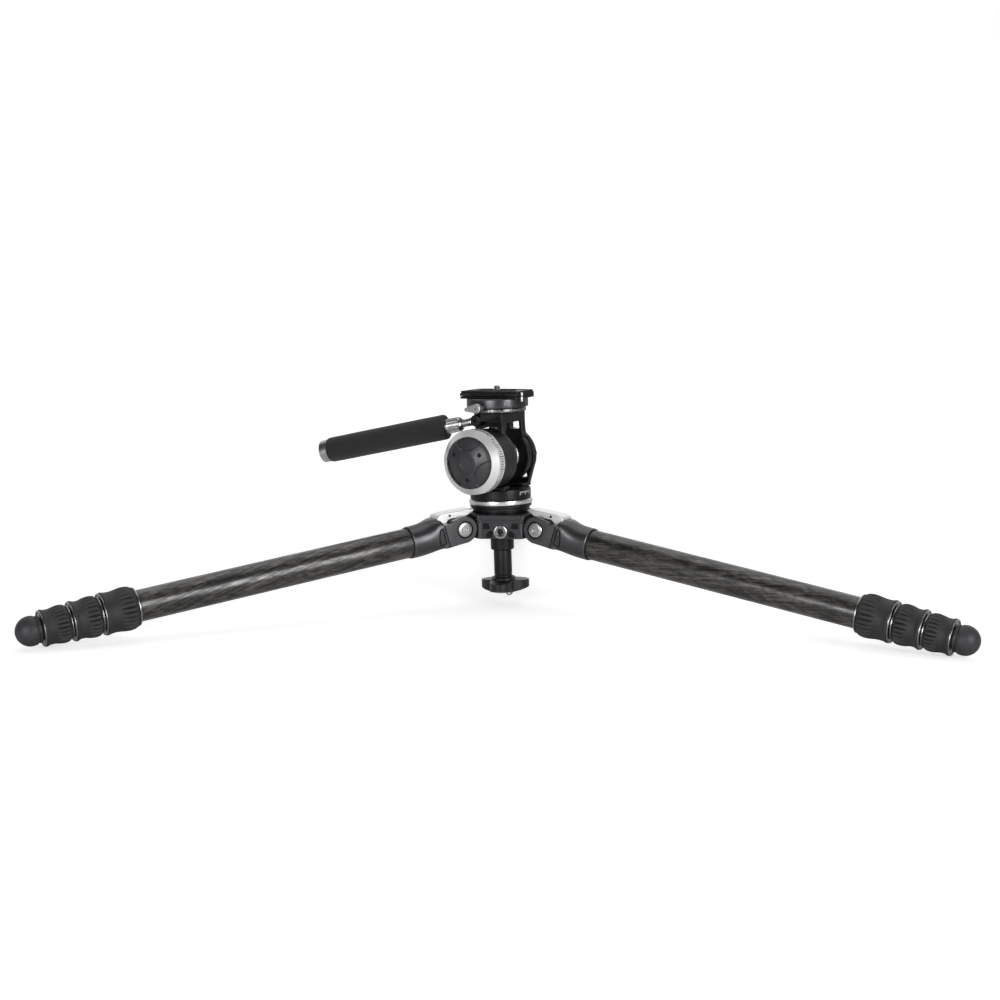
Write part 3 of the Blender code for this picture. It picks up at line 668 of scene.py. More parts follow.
def pivot_bolt():
    """Bolt through the cheeks with the same domed, ringed head on both sides."""
    half = [(3.0, 13.4), (6.6, 13.4), (7.05, 13.9), (7.05, 15.2), (6.6, 15.8), (4.9, 16.1), (4.4, 16.1),
            (4.2, 15.5), (3.6, 15.5), (3.4, 16.1), (2.6, 16.1), (2.2, 15.2), (0, 15.2)]
    return turned([(r, -y) for r, y in reversed(half)] + half, "Y", segments=48)


def angle_tab():
    """Bright angle tab between the cheeks, deeper at its outer end."""
    outline = [(-15.0, 14.4), (-14.8, 16.2), (-10.0, 17.0), (4.0, 17.6), (17.0, 17.8), (22.0, 16.9),
               (24.4, 14.8), (24.5, 8.0), (22.6, 5.4), (18.2, 5.4), (15.4, 8.4), (12.6, 11.4),
               (-8.0, 11.4), (-11.0, 13.4)]
    return soften(prism(rounded(outline, 1.2, 3), -8.6, 8.6, "XZ"), 0.8)


def joint_ring():
    """Dark adhesive line between the sleeve and the first tube."""
    return turned(rectangle((14.05, 53.0), (14.75, 54.3)), "X")


def tab_pin():
    """Dark pin across the tab."""
    return rod(1.2, -8.9, 8.9, "Y", (11.0, 0, 14.9), 24, 0.2)


def leg_tube(index):
    outer, low, high = TUBE_R[index], TUBE_START[index], TUBE_END[index]
    inner = outer - TUBE_WALL
    return turned([(inner, low), (outer - 0.2, low), (outer, low + 0.2), (outer, high - 0.2),
                   (outer - 0.2, high), (inner, high)], "X")


def twist_lock(index):
    """Rubber sleeve: grooves round the bulge nearest the hub, smooth waist, flared rim."""
    low, high = LOCK_SPAN[index]
    length = high - low
    bulge, waist = LOCK_BULGE[index], LOCK_WAIST[index]
    over, under = TUBE_R[index] + 0.3, TUBE_R[index + 1] + 0.3
    step_x = TUBE_END[index] + 0.3
    outer = [(waist - 1.6, 0.045), (waist - 0.7, 0.07), (bulge - 0.55, 0.15), (bulge - 0.1, 0.24),
             (bulge, 0.32), (bulge - 0.25, 0.42), (bulge - 0.8, 0.53), (waist + 0.1, 0.63),
             (waist, 0.72), (waist + 0.15, 0.8), (bulge - 0.75, 0.87), (bulge - 0.4, 0.91),
             (bulge - 0.5, 0.95)]
    outer = smooth_profile([(r, low + length * f) for r, f in outer], 5)

    def ribs(radius, x, angle):
        f = (x - low) / length
        if radius < waist - 2 or not 0.05 < f < 0.62:
            return radius
        reach = bump(f - 0.31, 0.29) ** 0.6
        wave = 0.5 + 0.5 * math.cos(LOCK_GROOVES * angle)
        return radius - 2.1 * reach * wave ** (2.6 + 3.0 * abs(f - 0.31) / 0.3)

    profile = [(over, low + 0.4)] + outer + [(under + 0.9, high - 0.9), (under + 0.9, step_x + 0.6),
                                             (over, step_x + 0.6)]
    return turned(profile, "X", segments=240, shape=ribs, crease=50)


def lock_rings(index):
    """Thin metal washers that close both ends of a lock."""
    low, high = LOCK_SPAN[index]
    over, under = TUBE_R[index] + 0.3, TUBE_R[index + 1] + 0.3
    waist, rim = LOCK_WAIST[index], LOCK_BULGE[index] - 0.4
    near = [(over, low), (waist - 1.3, low), (waist - 0.8, low + 0.5), (waist - 0.8, low + 1.3),
            (over, low + 1.3)]
    far = [(under, high - 1.3), (rim - 0.9, high - 1.3), (rim - 0.5, high - 0.9), (rim - 0.5, high - 0.4),
           (rim - 0.9, high), (rim - 1.5, high), (rim - 1.8, high - 0.9), (under, high - 0.9)]
    return merge(turned(near, "X"), turned(far, "X"))


def leg_foot():
    """Ball foot with a ridged neck and a waist behind the ball."""
    bore, start, ball_x, ball_r = 9.5, 400.5, 408.6, 13.0
    neck = [(11.0, start), (11.6, start + 0.3), (11.8, start + 0.8), (11.8, start + 2.6),
            (11.5, start + 2.9), (11.1, start + 3.1), (11.1, start + 3.7), (11.5, start + 3.9),
            (12.3, start + 4.1), (12.6, start + 4.7)]
    profile = [(0, 409.5), (bore, 409.5), (bore, start)] + neck
    first = -math.degrees(math.asin((ball_x - start - 5.2) / ball_r))
    profile += arc((0, ball_x), ball_r, first, 90, 26)[:-1] + [(0, ball_x + ball_r)]
    return turned(profile, "X", segments=72)


def build_leg(number):
    leg, place = f"leg_{number}", LEG_FRAME[number]
    tube_place = place @ shift(*TUBE_AXIS)
    put_all(place, (
        (leg_casting, f"{leg}_casting_shell", leg, GRAPHITE, f"{leg}_casting"),
        # Painted shade in the casting's grooves and round its bolt heads.
        (casting_line_shade, f"{leg}_casting_lines", leg, DARK),
        (pivot_bolt, f"{leg}_bolt_detail", leg, SILVER_Y, f"{leg}_pivot_bolt"),
        (angle_tab, f"{leg}_tab_detail", f"{leg}_tab", TAB_SILVER, f"{leg}_angle_tab"),
        (tab_pin, f"{leg}_tab_pin", f"{leg}_tab", DARK)))
    put(joint_ring(), f"{leg}_joint_ring", leg, DARK, tube_place)
    for index in range(len(TUBE_R)):
        body = f"{leg}_section_{index + 1}" if index else leg
        put(leg_tube(index), f"{leg}_carbon_tube_{index + 1}", body, CARBON, tube_place,
            [f"{leg}_tube_{index + 1}"])
        if index < len(LOCK_SPAN):
            twist = f"{leg}_twist_{index + 1}"
            put(twist_lock(index), f"{leg}_lock_sleeve_{index + 1}", twist, RUBBER, tube_place,
                [f"{leg}_lock_{index + 1}"])
            put(lock_rings(index), f"{leg}_lock_rings_{index + 1}", twist, RING_GREY, tube_place)
    put(leg_foot(), f"{leg}_ball_foot", f"{leg}_section_4", FOOT, tube_place, [f"{leg}_foot"])


# ---------------------------------------------------------------- hub and leveling base

HUB_BOTTOM = 64.0
HUB_TOP = 87.3
LIP_Z = 82.4
BOWL_R = 29.3
SOCKET_AZIMUTH = -60.0
SOCKET_Z = 71.0


def hub_outline(flat, half):
    reach, lean = math.hypot(flat, half), math.degrees(math.atan2(half, flat))
    return [polar(reach, azimuth + 60 + side) for azimuth in sorted(LEG_AZIMUTHS) for side in (-lean, lean)]


def sphere_arc(radius, start, end, steps):
    """Profile of the ball, in degrees up from its lowest point."""
    return [(x, BALL_Z + y) for x, y in arc((0, 0), radius, start - 90, end - 90, steps)]


UPPER_POCKET = ((9.6, 73.6), (16.4, 73.6), (16.4, 79.0), (11.2, 79.0))
LOWER_POCKET = ((7.4, 65.6), (13.4, 65.6), (13.4, 68.6), (10.8, 71.6), (7.4, 71.6))
POCKET_FLOOR = 26.8


def pockets(low, high):
    """Solids of the two pockets each side of every flat face, between two depths."""
    made = []
    for azimuth in LEG_AZIMUTHS:
        for side in (-1, 1):
            for shape in (UPPER_POCKET, LOWER_POCKET):
                outline = rounded([(side * a, b) for a, b in shape], 1.1, 3)
                made.append(spin(prism(outline, low, high, "YZ"), azimuth + 60))
    return made


def pocket_shade_sheets():
    """Painted shade: dark sheets on the floors of the pockets in the hub's flat faces."""
    return merge(*pockets(POCKET_FLOOR - 0.2, POCKET_FLOOR + 0.1))


def hub_shell():
    body = soften(prism(rounded(hub_outline(30.0, 21.0), 3.0), HUB_BOTTOM, LIP_Z + 0.4), 0.9)
    lip = prism(rounded(hub_outline(34.6, 21.8), 1.6), LIP_Z, HUB_TOP)
    join(body, soften(lip, 0.7))
    for azimuth in LEG_AZIMUTHS:
        side = [(24.0, HUB_BOTTOM + 0.4), (44.0, HUB_BOTTOM - 0.2)]
        side += arc((PIVOT_RADIUS, PIVOT_Z), 10.5, -95, 85, 20) + [(44.0, 84.3), (24.0, 84.3)]
        lug = soften(prism(side, -9.4, 9.4, "XZ"), 0.7)
        join(body, spin(lug, azimuth))
    bowl = [(0, HUB_BOTTOM - 2), (17.0, HUB_BOTTOM - 2)] + sphere_arc(BOWL_R, 35.5, 90, 16)
    cut(body, turned(bowl + [(0, BALL_Z)], segments=144))
    cut(body, *pockets(POCKET_FLOOR, 33.0))
    for azimuth in LEG_AZIMUTHS:
        for side in (-1, 1):
            corner = [(side * 17.6, 80.9), (side * 24.0, 80.9), (side * 24.0, 74.6)]
            cut(body, spin(prism(corner, 28.4, 33.0, "YZ"), azimuth + 60))
    seat = rod(6.8, 25.0, 34.0, "X", (0, 0, SOCKET_Z), 64)
    return cut(body, spin(seat, SOCKET_AZIMUTH))


def accessory_socket():
    profile = [(3.1, 25.3), (6.5, 25.3), (6.5, 31.6), (6.1, 32.3), (5.6, 32.5), (5.4, 32.1), (5.1, 32.1),
               (4.9, 32.7), (4.5, 33.0), (4.1, 32.7), (3.7, 31.4)]
    profile += [(3.1 + 0.35 * (k % 2), 31.0 - 0.4 * k) for k in range(13)]
    return spin(turned(profile, "X", centre=(0, 0, SOCKET_Z)), SOCKET_AZIMUTH)


def leveling_collar():
    profile = [(5.0, 50.0), (10.2, 50.0), (10.9, 50.5), (11.2, 51.4), (11.2, 63.6), (10.9, 63.8),
               (10.9, 64.4), (11.2, 64.6), (11.2, 66.2), (5.0, 66.2)]
    return turned(profile)


def leveling_column():
    profile = [(0, 13.0), (4.2, 13.0), (4.2, 23.3), (8.2, 23.3), (8.6, 23.8), (8.6, 25.0), (8.35, 25.2),
               (8.35, 25.8), (8.6, 26.0), (8.6, 48.9), (8.2, 49.7), (4.7, 49.7), (4.7, 94.4), (0, 94.4)]
    return turned(profile)


KNOB_LOBE_AZIMUTH = -71.0
RING_OFFSET = 6.5


def leveling_knob():
    """Three-lobed knob, coned above and below so that its lobes thin towards their tips."""
    lobes = lobed(150, lambda t: 12.5 + 13.0 * (0.5 + 0.5 * math.cos(3 * t)) ** 0.85)
    knob = prism(lobes, 8.0, 24.0)
    cone = [(0, 9.0), (12.0, 9.0), (27.0, 13.0), (27.0, 19.2), (16.0, 20.4), (12.4, 20.8), (11.4, 23.0),
            (0, 23.0)]
    combine(knob, "INTERSECT", turned(cone, segments=144))
    soften(knob, 1.1, 4, 35)
    spin(knob, KNOB_LOBE_AZIMUTH)
    slot = soften(block((RING_OFFSET - 3.4, -7.4, 7.0), (RING_OFFSET + 3.4, 7.4, 15.4)), 0.6)
    return cut(knob, rod(4.5, 11.6, 25.0), slot)


def wire(path, radius, sides=16):
    """Round bar round a closed path of (y, z) points."""
    rows = []
    for k, here in enumerate(path):
        way = (Vector(path[(k + 1) % len(path)]) - Vector(path[k - 1])).normalized()
        out = Vector((way.y, -way.x)) * radius
        spots = [(radius * math.sin(t), Vector(here) + out * math.cos(t)) for t in turn_angles(sides)]
        rows.append([(x, spot.x, spot.y) for x, spot in spots])
    return skin(rows, True)


def weight_ring():
    path = [(y, 9.6 + z * (0.62 if z < 0 else 1)) for y, z in arc((0, 0), 5.8, 180, 360, 20)]
    path = rounded(path + [(5.8, 13.4), (-5.8, 13.4)], 1.2, 4)
    return wire(path, 0.8)


def head_base():
    profile = [(5.0, 91.8), (28.7, 91.8), (29.3, 92.2), (29.5, 92.8), (29.5, 94.3), (29.1, 94.9),
               (5.0, 94.9)]
    notch = soften(block((-3.4, -31.0, 91.0), (3.4, -27.8, 93.5)), 0.3)
    return cut(turned(profile, segments=144), spin(notch, 38.0))


def half_ball():
    profile = sphere_arc(27.4, 29, 91, 22)
    profile += [(5.0, BALL_Z + 0.49), (5.0, profile[0][1])]
    return turned(profile, segments=144)


def seat_liner():
    profile = sphere_arc(28.7, 39, 80, 14) + sphere_arc(28.0, 80, 39, 14)
    return turned(profile, segments=144)


def build_hub():
    put_all(HUB_FRAME, (
        (hub_shell, "hub_shell", "hub", HUB_METAL, "hub"),
        # Painted shade in the pockets of the hub's flat faces.
        (pocket_shade_sheets, "hub_pocket_liners", "hub", DARK),
        (accessory_socket, "accessory_socket_detail", "hub", SILVER_Z, "accessory_socket")))
    put_all(HEAD_FRAME, (
        (seat_liner, "seat_liner_detail", "seat", PLASTIC, "leveling_seat_liner"),
        (half_ball, "half_ball_detail", "ball", BLACK, "leveling_half_ball"),
        (leveling_collar, "collar_detail", "ball", BLACK, "leveling_collar"),
        (leveling_column, "column_detail", "ball", BLACK, "leveling_column"),
        (leveling_knob, "knob_detail", "leveling_knob", PLASTIC, "leveling_knob")))
    put(weight_ring(), "weight_ring_detail", "weight_ring", SILVER_X, HEAD_FRAME @ shift(RING_OFFSET, 0, 0),
        ["weight_ring"])
    put(head_base(), "head_base_detail", "ball", BLACK, HEAD_FRAME, ["head_base"])


# ---------------------------------------------------------------- head: pan and drag

DRUM_R = 28.8
WHEEL_R = 30.8
COVER_R = 24.1
PAN_R = 29.0
PAN_LOCK_AZIMUTH = 131.0
PAN_LOCK_Z = 105.0


def pan_scale_ring():
    profile = [(9.0, 95.2), (29.4, 95.2), (30.0, 95.5), (30.2, 96.1), (30.2, 98.8), (30.0, 99.4),
               (29.4, 99.7), (9.0, 99.7)]
    return turned(profile, segments=144)


def pan_body():
    low, high = 100.0, 110.0
    disc = [(0, low), (28.2, low), (28.8, low + 0.3), (PAN_R, low + 0.9), (PAN_R, high - 1.6),
            (28.6, high - 0.6), (27.6, high), (0, high)]
    body = turned(disc, segments=144)
    side = [(-17.5, high - 0.6)] + arc((0, TILT_Z), 26.0, 205, -25, 48) + [(17.5, high - 0.6)]
    upright = soften(prism(side, 21.2, 27.0, "XZ"), 1.1, 4)
    foot = soften(block((-19.0, 11.0, high - 0.6), (19.0, 26.0, 112.6)), 0.8)
    saddle = soften(block((-19.0, -24.0, high - 0.6), (19.0, -14.4, 113.4)), 0.8)
    join(body, foot, upright, saddle)
    window = rounded([(-9.5, 117.8), (17.4, 117.4), (17.0, 123.6), (-7.5, 123.6)], 1.2)
    return cut(body, rod(DRUM_R + 0.3, -45, -12.2, "Y", (0, 0, TILT_Z), 144),
               prism(window, 18.0, 30.0, "XZ"),
               rod(6.2, 18.0, 30.0, "Y", (0, 0, TILT_Z)),
               turned(rectangle((13.0, 26.2), (21.0, 30.0)), "Y", centre=(0, 0, TILT_Z)))


def upright_cap():
    """Bearing cap on the far face, with its ring of socket screws."""
    cap = turned([(0, 25.4), (6.0, 25.4), (6.0, 27.2), (10.6, 27.2), (11.4, 27.5), (11.6, 28.0),
                  (11.0, 28.5), (4.6, 28.6), (4.2, 28.2), (2.6, 28.2), (2.2, 27.6), (0, 27.6)], "Y")
    screws = [polar(8.0, 120 * k + 30) for k in range(3)]
    return cut(cap, *[rod(0.9, 27.7, 30.0, "Y", (x, 0, z), 6) for x, z in screws])


def index_marks():
    """White index lines on the turntable's side, every fourth one longer."""
    marks = []
    for k in range(9):
        height = 1.6 if k % 4 else 3.4
        mark = block((-0.34, -PAN_R - 0.05, 107.6 - height), (0.34, -PAN_R + 0.3, 107.6))
        marks.append(spin(mark, 71.0 + 3.6 * k))
    return merge(*marks)


def upright_screw():
    """Button head with a hexagon socket, standing on z = 0."""
    head = turned([(0, -0.6), (1.89, -0.6), (2.1, 0), (1.974, 0.55), (1.512, 0.9), (1.05, 1.0), (0, 1.0)],
                  segments=48)
    return cut(head, rod(0.966, 0.25, 2.0, segments=6))


def pan_lock_knob():
    grip = lobed(60, lambda t: 6.0 + 0.8 * math.cos(6 * t))
    stem = [(0, 29.4), (3.4, 29.4), (3.4, 33.2), (5.0, 33.8), (5.0, 35.0), (0, 35.0)]
    return join(soften(prism(grip, 34.0, 43.0, "YZ"), 0.9), turned(stem, "X"))


def tilt_drum():
    profile = [(5.3, -50.6), (7.6, -50.6), (7.6, -40.0), (27.9, -40.0), (28.5, -39.7), (DRUM_R, -39.0),
               (DRUM_R, -22.4), (28.5, -22.2), (28.5, -21.8), (DRUM_R, -21.6), (DRUM_R, -15.6),
               (28.4, -14.5), (27.2, -14.0), (22.0, -14.0), (22.0, -12.5), (5.3, -12.5)]
    return turned(profile, "Y", segments=144)


def drum_dot():
    """White index dot on the drum's side."""
    dot = turned([(0, 28.3), (0.75, 28.3), (0.75, DRUM_R + 0.04), (0, DRUM_R + 0.1)], "X", 24)
    dot.data.transform(Matrix.Translation((0, -0.0372, 0)))
    return spin(dot, 6.0, "Y")


def tilt_axle():
    profile = [(0, -50.2), (5.0, -50.2), (5.0, -12.2), (20.0, -12.2), (20.8, -11.8), (21.0, -11.2),
               (21.0, -10.0), (20.6, -9.6), (12.0, -9.6), (12.0, 6.4), (15.2, 8.6), (15.7, 9.2),
               (15.7, 11.6), (15.2, 12.1), (5.0, 12.1), (5.0, 26.8), (0, 26.8)]
    return turned(profile, "Y")


def drag_wheel():
    """Bright wheel: coned front, flat rim and three finger scallops."""
    profile = [(7.9, -40.3), (30.2, -40.3)] + [(WHEEL_R, -40.8 - 0.86 * k) for k in range(11)]
    profile += [(30.6, -49.9), (25.2, -54.6), (24.8, -54.8), (24.5, -54.6), (24.5, -51.0), (7.9, -51.0)]

    def scallop(radius, height, angle):
        if radius < 26:
            return radius
        thirds = (math.remainder(angle - math.radians(52 + 120 * k), 2 * math.pi) for k in range(3))
        return radius - 3.2 * max(bump(away, 0.3) for away in thirds) * bump(height + 45.2, 6.0)

    return turned(profile, "Y", segments=240, shape=scallop, crease=26)


SCOOP_R = 16.0
SCOOP_AT = 27.4
SCOOP_DEPTH = 2.3
COVER_SCREWS = [(x, 0, z) for z, x in (polar(15.9, 60 + 120 * k) for k in range(3))]


def scoop(radius, angle):
    """Depth of one lobe's scoop at this radius and this angle from its middle."""
    reach = math.hypot(radius * math.sin(angle), radius * math.cos(angle) - SCOOP_AT)
    return SCOOP_DEPTH * ease((SCOOP_R - reach) / 0.6)


def wheel_cover():
    """Domed cap with three scooped lobes between its screws, as a polar height field."""
    dome = smooth_profile([(0, 60.8), (9.0, 60.3), (13.0, 59.2), (20.5, 56.6), (COVER_R - 0.5, 54.9),
                           (COVER_R, 54.4)], 12)
    rows = [[(0, -60.8, 0)]]
    for radius, height in dome[1:]:
        row = []
        for t in turn_angles(216):
            depth = max(scoop(radius, math.radians(120 * lobe) - t) for lobe in range(3))
            if radius > COVER_R - 0.8:
                depth *= 0.6
            row.append((radius * math.sin(t), depth - height, radius * math.cos(t)))
        rows.append(row)
    rows.append([(x, -51.3, z) for x, _, z in rows[-1]])
    bores = [rod(2.0, -62.0, -56.6, "Y", spot, 40) for spot in COVER_SCREWS]
    return cut(skin(rows, crease=40), *bores, turned(rectangle((8.6, -62.0), (9.3, -59.9)), "Y"))


def cover_screws():
    """Countersunk socket screws in the cover."""
    profile = [(0, -56.4), (1.9, -56.4), (1.9, -57.4), (1.6, -57.8), (0, -57.8)]
    return merge(*[cut(turned(profile, "Y", 32, spot), rod(0.9, -60.0, -56.9, "Y", spot, 6))
                   for spot in COVER_SCREWS])


def cover_sockets():
    """Painted shade: dark hexagons at the bottom of the sockets in the cover's screws."""
    return merge(*[rod(0.86, -57.1, -56.6, "Y", spot, 6) for spot in COVER_SCREWS])


def cover_cap():
    """Plain turned button in the middle of the cover."""
    return turned([(0, -60.2), (6.4, -60.2), (6.8, -60.6), (6.8, -61.0), (6.4, -61.3),
                   (5.4, -61.35), (5.2, -61.1), (0, -61.2)], "Y", segments=72)


def cover_ring():
    return turned(rectangle((8.7, -59.6), (9.2, -60.35)), "Y")


def build_pan():
    put_all(HEAD_FRAME, (
        (pan_scale_ring, "pan_scale_detail", "ball", PAN_SILVER, "pan_scale_ring"),
        (pan_body, "pan_body_detail", "pan", BLACK, "pan_body"),
        (index_marks, "pan_index_marks", "pan", WHITE)))
    put(upright_cap(), "upright_cap", "pan", PLASTIC, TILT_FRAME)
    x, z = polar(25.9, 4)
    screw_place = TILT_FRAME @ shift(x, 24.1, z) @ Matrix.Rotation(math.radians(86), 4, "Y")
    put(upright_screw(), "upright_screw", "pan", GREY, screw_place)
    knob_turn = Matrix.Rotation(math.radians(PAN_LOCK_AZIMUTH), 4, "Z")
    knob_place = HEAD_FRAME @ knob_turn @ shift(0, 0, PAN_LOCK_Z)
    put(pan_lock_knob(), "pan_lock_detail", "pan_knob", PLASTIC, knob_place, ["pan_lock_knob"])
    put_all(TILT_FRAME, (
        (tilt_drum, "tilt_drum_detail", "pan", DRUM, "tilt_drum"),
        (drum_dot, "drum_dot", "pan", WHITE),
        (drag_wheel, "drag_wheel_detail", "drag_wheel", WHEEL_SCALE, "drag_wheel"),
        (wheel_cover, "wheel_cover_detail", "drag_wheel", COVER, "wheel_cover"),
        (cover_screws, "cover_screws", "drag_wheel", BLACK),
        # Painted shade in the cover screws' sockets.
        (cover_sockets, "cover_sockets", "drag_wheel", DARK),
        (cover_cap, "cover_cap", "drag_wheel", COVER),
        (cover_ring, "cover_ring", "drag_wheel", GREY)))


# ---------------------------------------------------------------- head: yoke, handle, clamp

YOKE_SCREW = (13.2, 0, 177.2)


def tilt_yoke():
    """Bridge with a skirt over the drum, and a paddle that hangs down to the axle."""
    bridge = soften(block((-18.0, -22.0, 172.6), (18.0, 20.0, 182.3)), 1.0)
    lip = soften(block((12.6, -22.0, 150.0), (18.0, -16.0, 176.0)), 1.0)
    side = [(18.4, 182.3), (-18.4, 182.3), (-18.4, 168.0), (-18.8, 163.0), (-19.7, 158.6)]
    side += arc((0, TILT_Z), 25.0, 137, 403, 64) + [(19.7, 158.6), (18.8, 163.0), (18.4, 168.0)]
    paddle = soften(prism(side, 12.4, 20.0, "XZ"), 1.0)
    cut(bridge, rod(35.8, -30.0, 12.4, "Y", (-3.0, 0, TILT_Z - 0.4), 144))
    cut(lip, rod(DRUM_R + 0.9, -40.0, -15.0, "Y", (0, 0, TILT_Z), 144))
    skirt = [(-17.8, 177.0)] + arc((0, TILT_Z), DRUM_R + 0.9, 126.7, 64.0, 24) + [(14.0, 177.0)]
    join(bridge, lip, paddle, prism(skirt, -13.2, -7.0, "XZ"))
    window = [(5.0, 164.9), (15.6, 164.7), (15.3, 175.0), (5.0, 175.6)]
    windows = [prism(rounded([(sign * x, z) for x, z in window], 1.5), 10.0, 24.0, "XZ")
               for sign in (-1, 1)]
    notch = block((-24.0, -30.0, 160.0), (-6.2, -13.8, 190.0))
    return cut(bridge, *windows, notch, rod(5.3, 8.0, 24.0, "Y", (0, 0, TILT_Z)),
               rod(1.9, -24.0, -18.0, "Y", YOKE_SCREW, 40))


def yoke_screw():
    profile = [(0, -19.0), (1.8, -19.0), (1.8, -20.6), (1.5, -20.9), (0, -20.9)]
    return cut(turned(profile, "Y", 40, YOKE_SCREW), rod(0.9, -23.0, -19.6, "Y", YOKE_SCREW, 6))


HANDLE_R = 3.0
GRIP_R = 12.15
GRIP_SPAN = (31.4, 158.0)
TURN = Vector((1, 0, 0)).rotation_difference(HANDLE_WAY).to_matrix().to_4x4()
EYE_FRAME = HEAD_FRAME @ shift(*HANDLE_START)
HANDLE_FRAME = EYE_FRAME @ TURN


def handle_rod():
    """Rod with a stepped collar next to its knuckle."""
    shaft = [(0, 5.2), (3.5, 5.2), (3.9, 5.6), (3.9, 10.6), (3.3, 11.0), (3.3, 12.0), (3.9, 12.4),
             (3.9, 13.8), (3.6, 14.1), (HANDLE_R, 14.1), (HANDLE_R, 105.6), (2.6, 106.0), (0, 106.0)]
    return turned(shaft, "X", segments=64)


def handle_eye():
    """Black knuckle that pins the rod to the yoke."""
    eye = rod(5.6, -3.6, 3.6, "Y", segments=72, round_edge=0.8)
    return cut(eye, rod(2.3, -6.0, -2.2, "Y", segments=6))


def handle_nut():
    """Collet nut: ribbed cone that closes on the rod."""
    def ribs(radius, height, angle):
        if radius < 4.0 or not 17.6 < height < 28.6:
            return radius
        return radius - 0.75 * max(0.0, math.cos(9 * angle)) ** 3

    profile = [(3.3, 14.6), (4.6, 14.6), (5.2, 15.0), (6.6, 16.7), (6.95, 17.5)]
    profile += [(6.95 + 0.3 * k / 10, 17.7 + 1.08 * k) for k in range(11)]
    profile += [(7.3, 28.7), (7.0, 28.9), (7.0, 29.3), (7.4, 29.5), (7.4, 30.6), (7.1, 30.9), (3.3, 30.9)]
    return turned(profile, "X", segments=180, shape=ribs)


def handle_grip():
    """Foam sleeve, swollen a little between its rounded ends."""
    low, high = GRIP_SPAN
    outer = smooth_profile([(9.9, low), (11.3, low + 0.5), (11.95, low + 2.0), (12.1, low + 6.0),
                            (GRIP_R, low + 40.0), (GRIP_R, high - 40.0), (12.1, high - 6.0),
                            (11.9, high - 1.8), (11.4, high)], 10)
    profile = [(3.3, low)] + outer + [(0, high), (0, high - 4.0), (3.3, high - 4.0)]

    def dents(radius, x, angle):
        if radius < 9:
            return radius
        return radius - 0.05 * (1 + math.sin(x * 0.19 + 2 * angle) * math.cos(x * 0.07 - 3 * angle))

    return turned(profile, "X", shape=dents)


def handle_end_cap():
    profile = [(0, 158.2), (11.0, 158.2), (11.0, 159.6), (10.7, 159.8), (10.7, 160.3), (11.0, 160.5),
               (11.0, 165.1), (10.6, 165.9), (9.8, 166.2), (6.4, 166.2), (6.0, 165.8), (0, 165.7)]
    return turned(profile, "X")


def clamp_base_ring():
    profile = [(4.5, 182.6), (26.3, 182.6), (26.8, 182.8), (27.0, 183.3), (27.0, 185.9), (26.8, 186.4),
               (26.3, 186.6), (4.5, 186.6)]
    return turned(profile, segments=144)


def index_notch():
    """Dark pointer under the clamp's graduations."""
    return spin(prism([(-1.0, 186.5), (1.0, 186.5), (0, 184.0)], -27.06, -26.5, "XZ"), 40.0)


CLAMP_SCREW_AZIMUTH = 47.0
CLAMP_SCREW_Z = 191.6


def clamp_body():
    disc = [(4.5, 187.0), (28.3, 187.0), (29.0, 187.3), (29.3, 188.0), (29.3, 194.5), (29.0, 195.2),
            (28.0, 195.8), (4.5, 195.8)]
    socket = rod(1.9, -32.0, -27.6, "Y", (0, 0, CLAMP_SCREW_Z), 40)
    return cut(turned(disc, segments=144), spin(socket, CLAMP_SCREW_AZIMUTH))


def clamp_socket_screw():
    profile = [(0, -28.6), (1.8, -28.6), (1.8, -28.2), (1.2, -27.4), (0, -27.4)]
    return spin(turned(profile, "Y", 32, (0, 0, CLAMP_SCREW_Z)), CLAMP_SCREW_AZIMUTH)


JAW_X = (-31.6, 31.0)


def clamp_deck():
    """Black deck and fixed jaw rail bolted to the turned drum."""
    low, high = JAW_X
    corners = rounded(rectangle((low, -16.6), (high, 16.6)), 1.2)
    deck = soften(prism(corners, 195.4, 197.6), 0.35)
    rail = [(14.9, 197.0), (11.7, 200.9), (16.6, 200.9), (16.6, 197.0)]
    return join(deck, soften(prism(rail, low + 0.2, high - 0.2, "YZ"), 0.35))


def clamp_jaw():
    outline = [(-14.6, 198.0), (-11.7, 200.9), (-16.6, 200.9), (-16.6, 198.0)]
    jaw = soften(prism(outline, *JAW_X, "YZ"), 0.35)
    for x in (-17.0, 17.0):
        cut(jaw, rod(0.9, -18.0, -15.7, "Y", (x, 0, 199.5), 24))
    return jaw


def clamp_lever():
    """Teardrop lever with a screw in its round head."""
    head = arc((0, 0), 4.6, -75, 105, 24)
    tip = arc((-11.0, -0.8), 1.8, 105, 265, 10)
    lever = soften(prism(head + tip, -40.0, -36.0, "XZ"), 0.9, 4)
    join(lever, rod(3.2, -37.0, -29.7, "Y", segments=48))
    ring = turned(rectangle((2.5, -42.0), (3.1, -39.6)), "Y", 48)
    return cut(lever, ring, rod(1.3, -42.0, -38.6, "Y", segments=6))


PLATE_X = (-32.0, 31.3)
PLATE_TOP = 202.8


def release_plate():
    """Dovetail plate with relieved sides, a long slot and a bore for its screw's head."""
    half = [(13.3, 198.0), (13.3, 198.6), (10.9, 201.0), (14.7, 201.0), (15.0, 201.3), (15.0, 202.3),
            (14.6, PLATE_TOP)]
    outline = [(-y, z) for y, z in reversed(half)] + half
    plate = soften(prism(outline, PLATE_X[0], PLATE_X[1], "YZ"), 0.3, 2)
    ends = rounded(rectangle((PLATE_X[0], -15.2), (PLATE_X[1], 15.2)), 2.4)
    combine(plate, "INTERSECT", prism(ends, 190, 210))
    slot = rounded(rectangle((-20.0, -3.5), (20.0, 3.5)), 3.4, 6)
    return cut(plate, prism(slot, 190, 210), rod(6.6, 190, 200.8, segments=64))


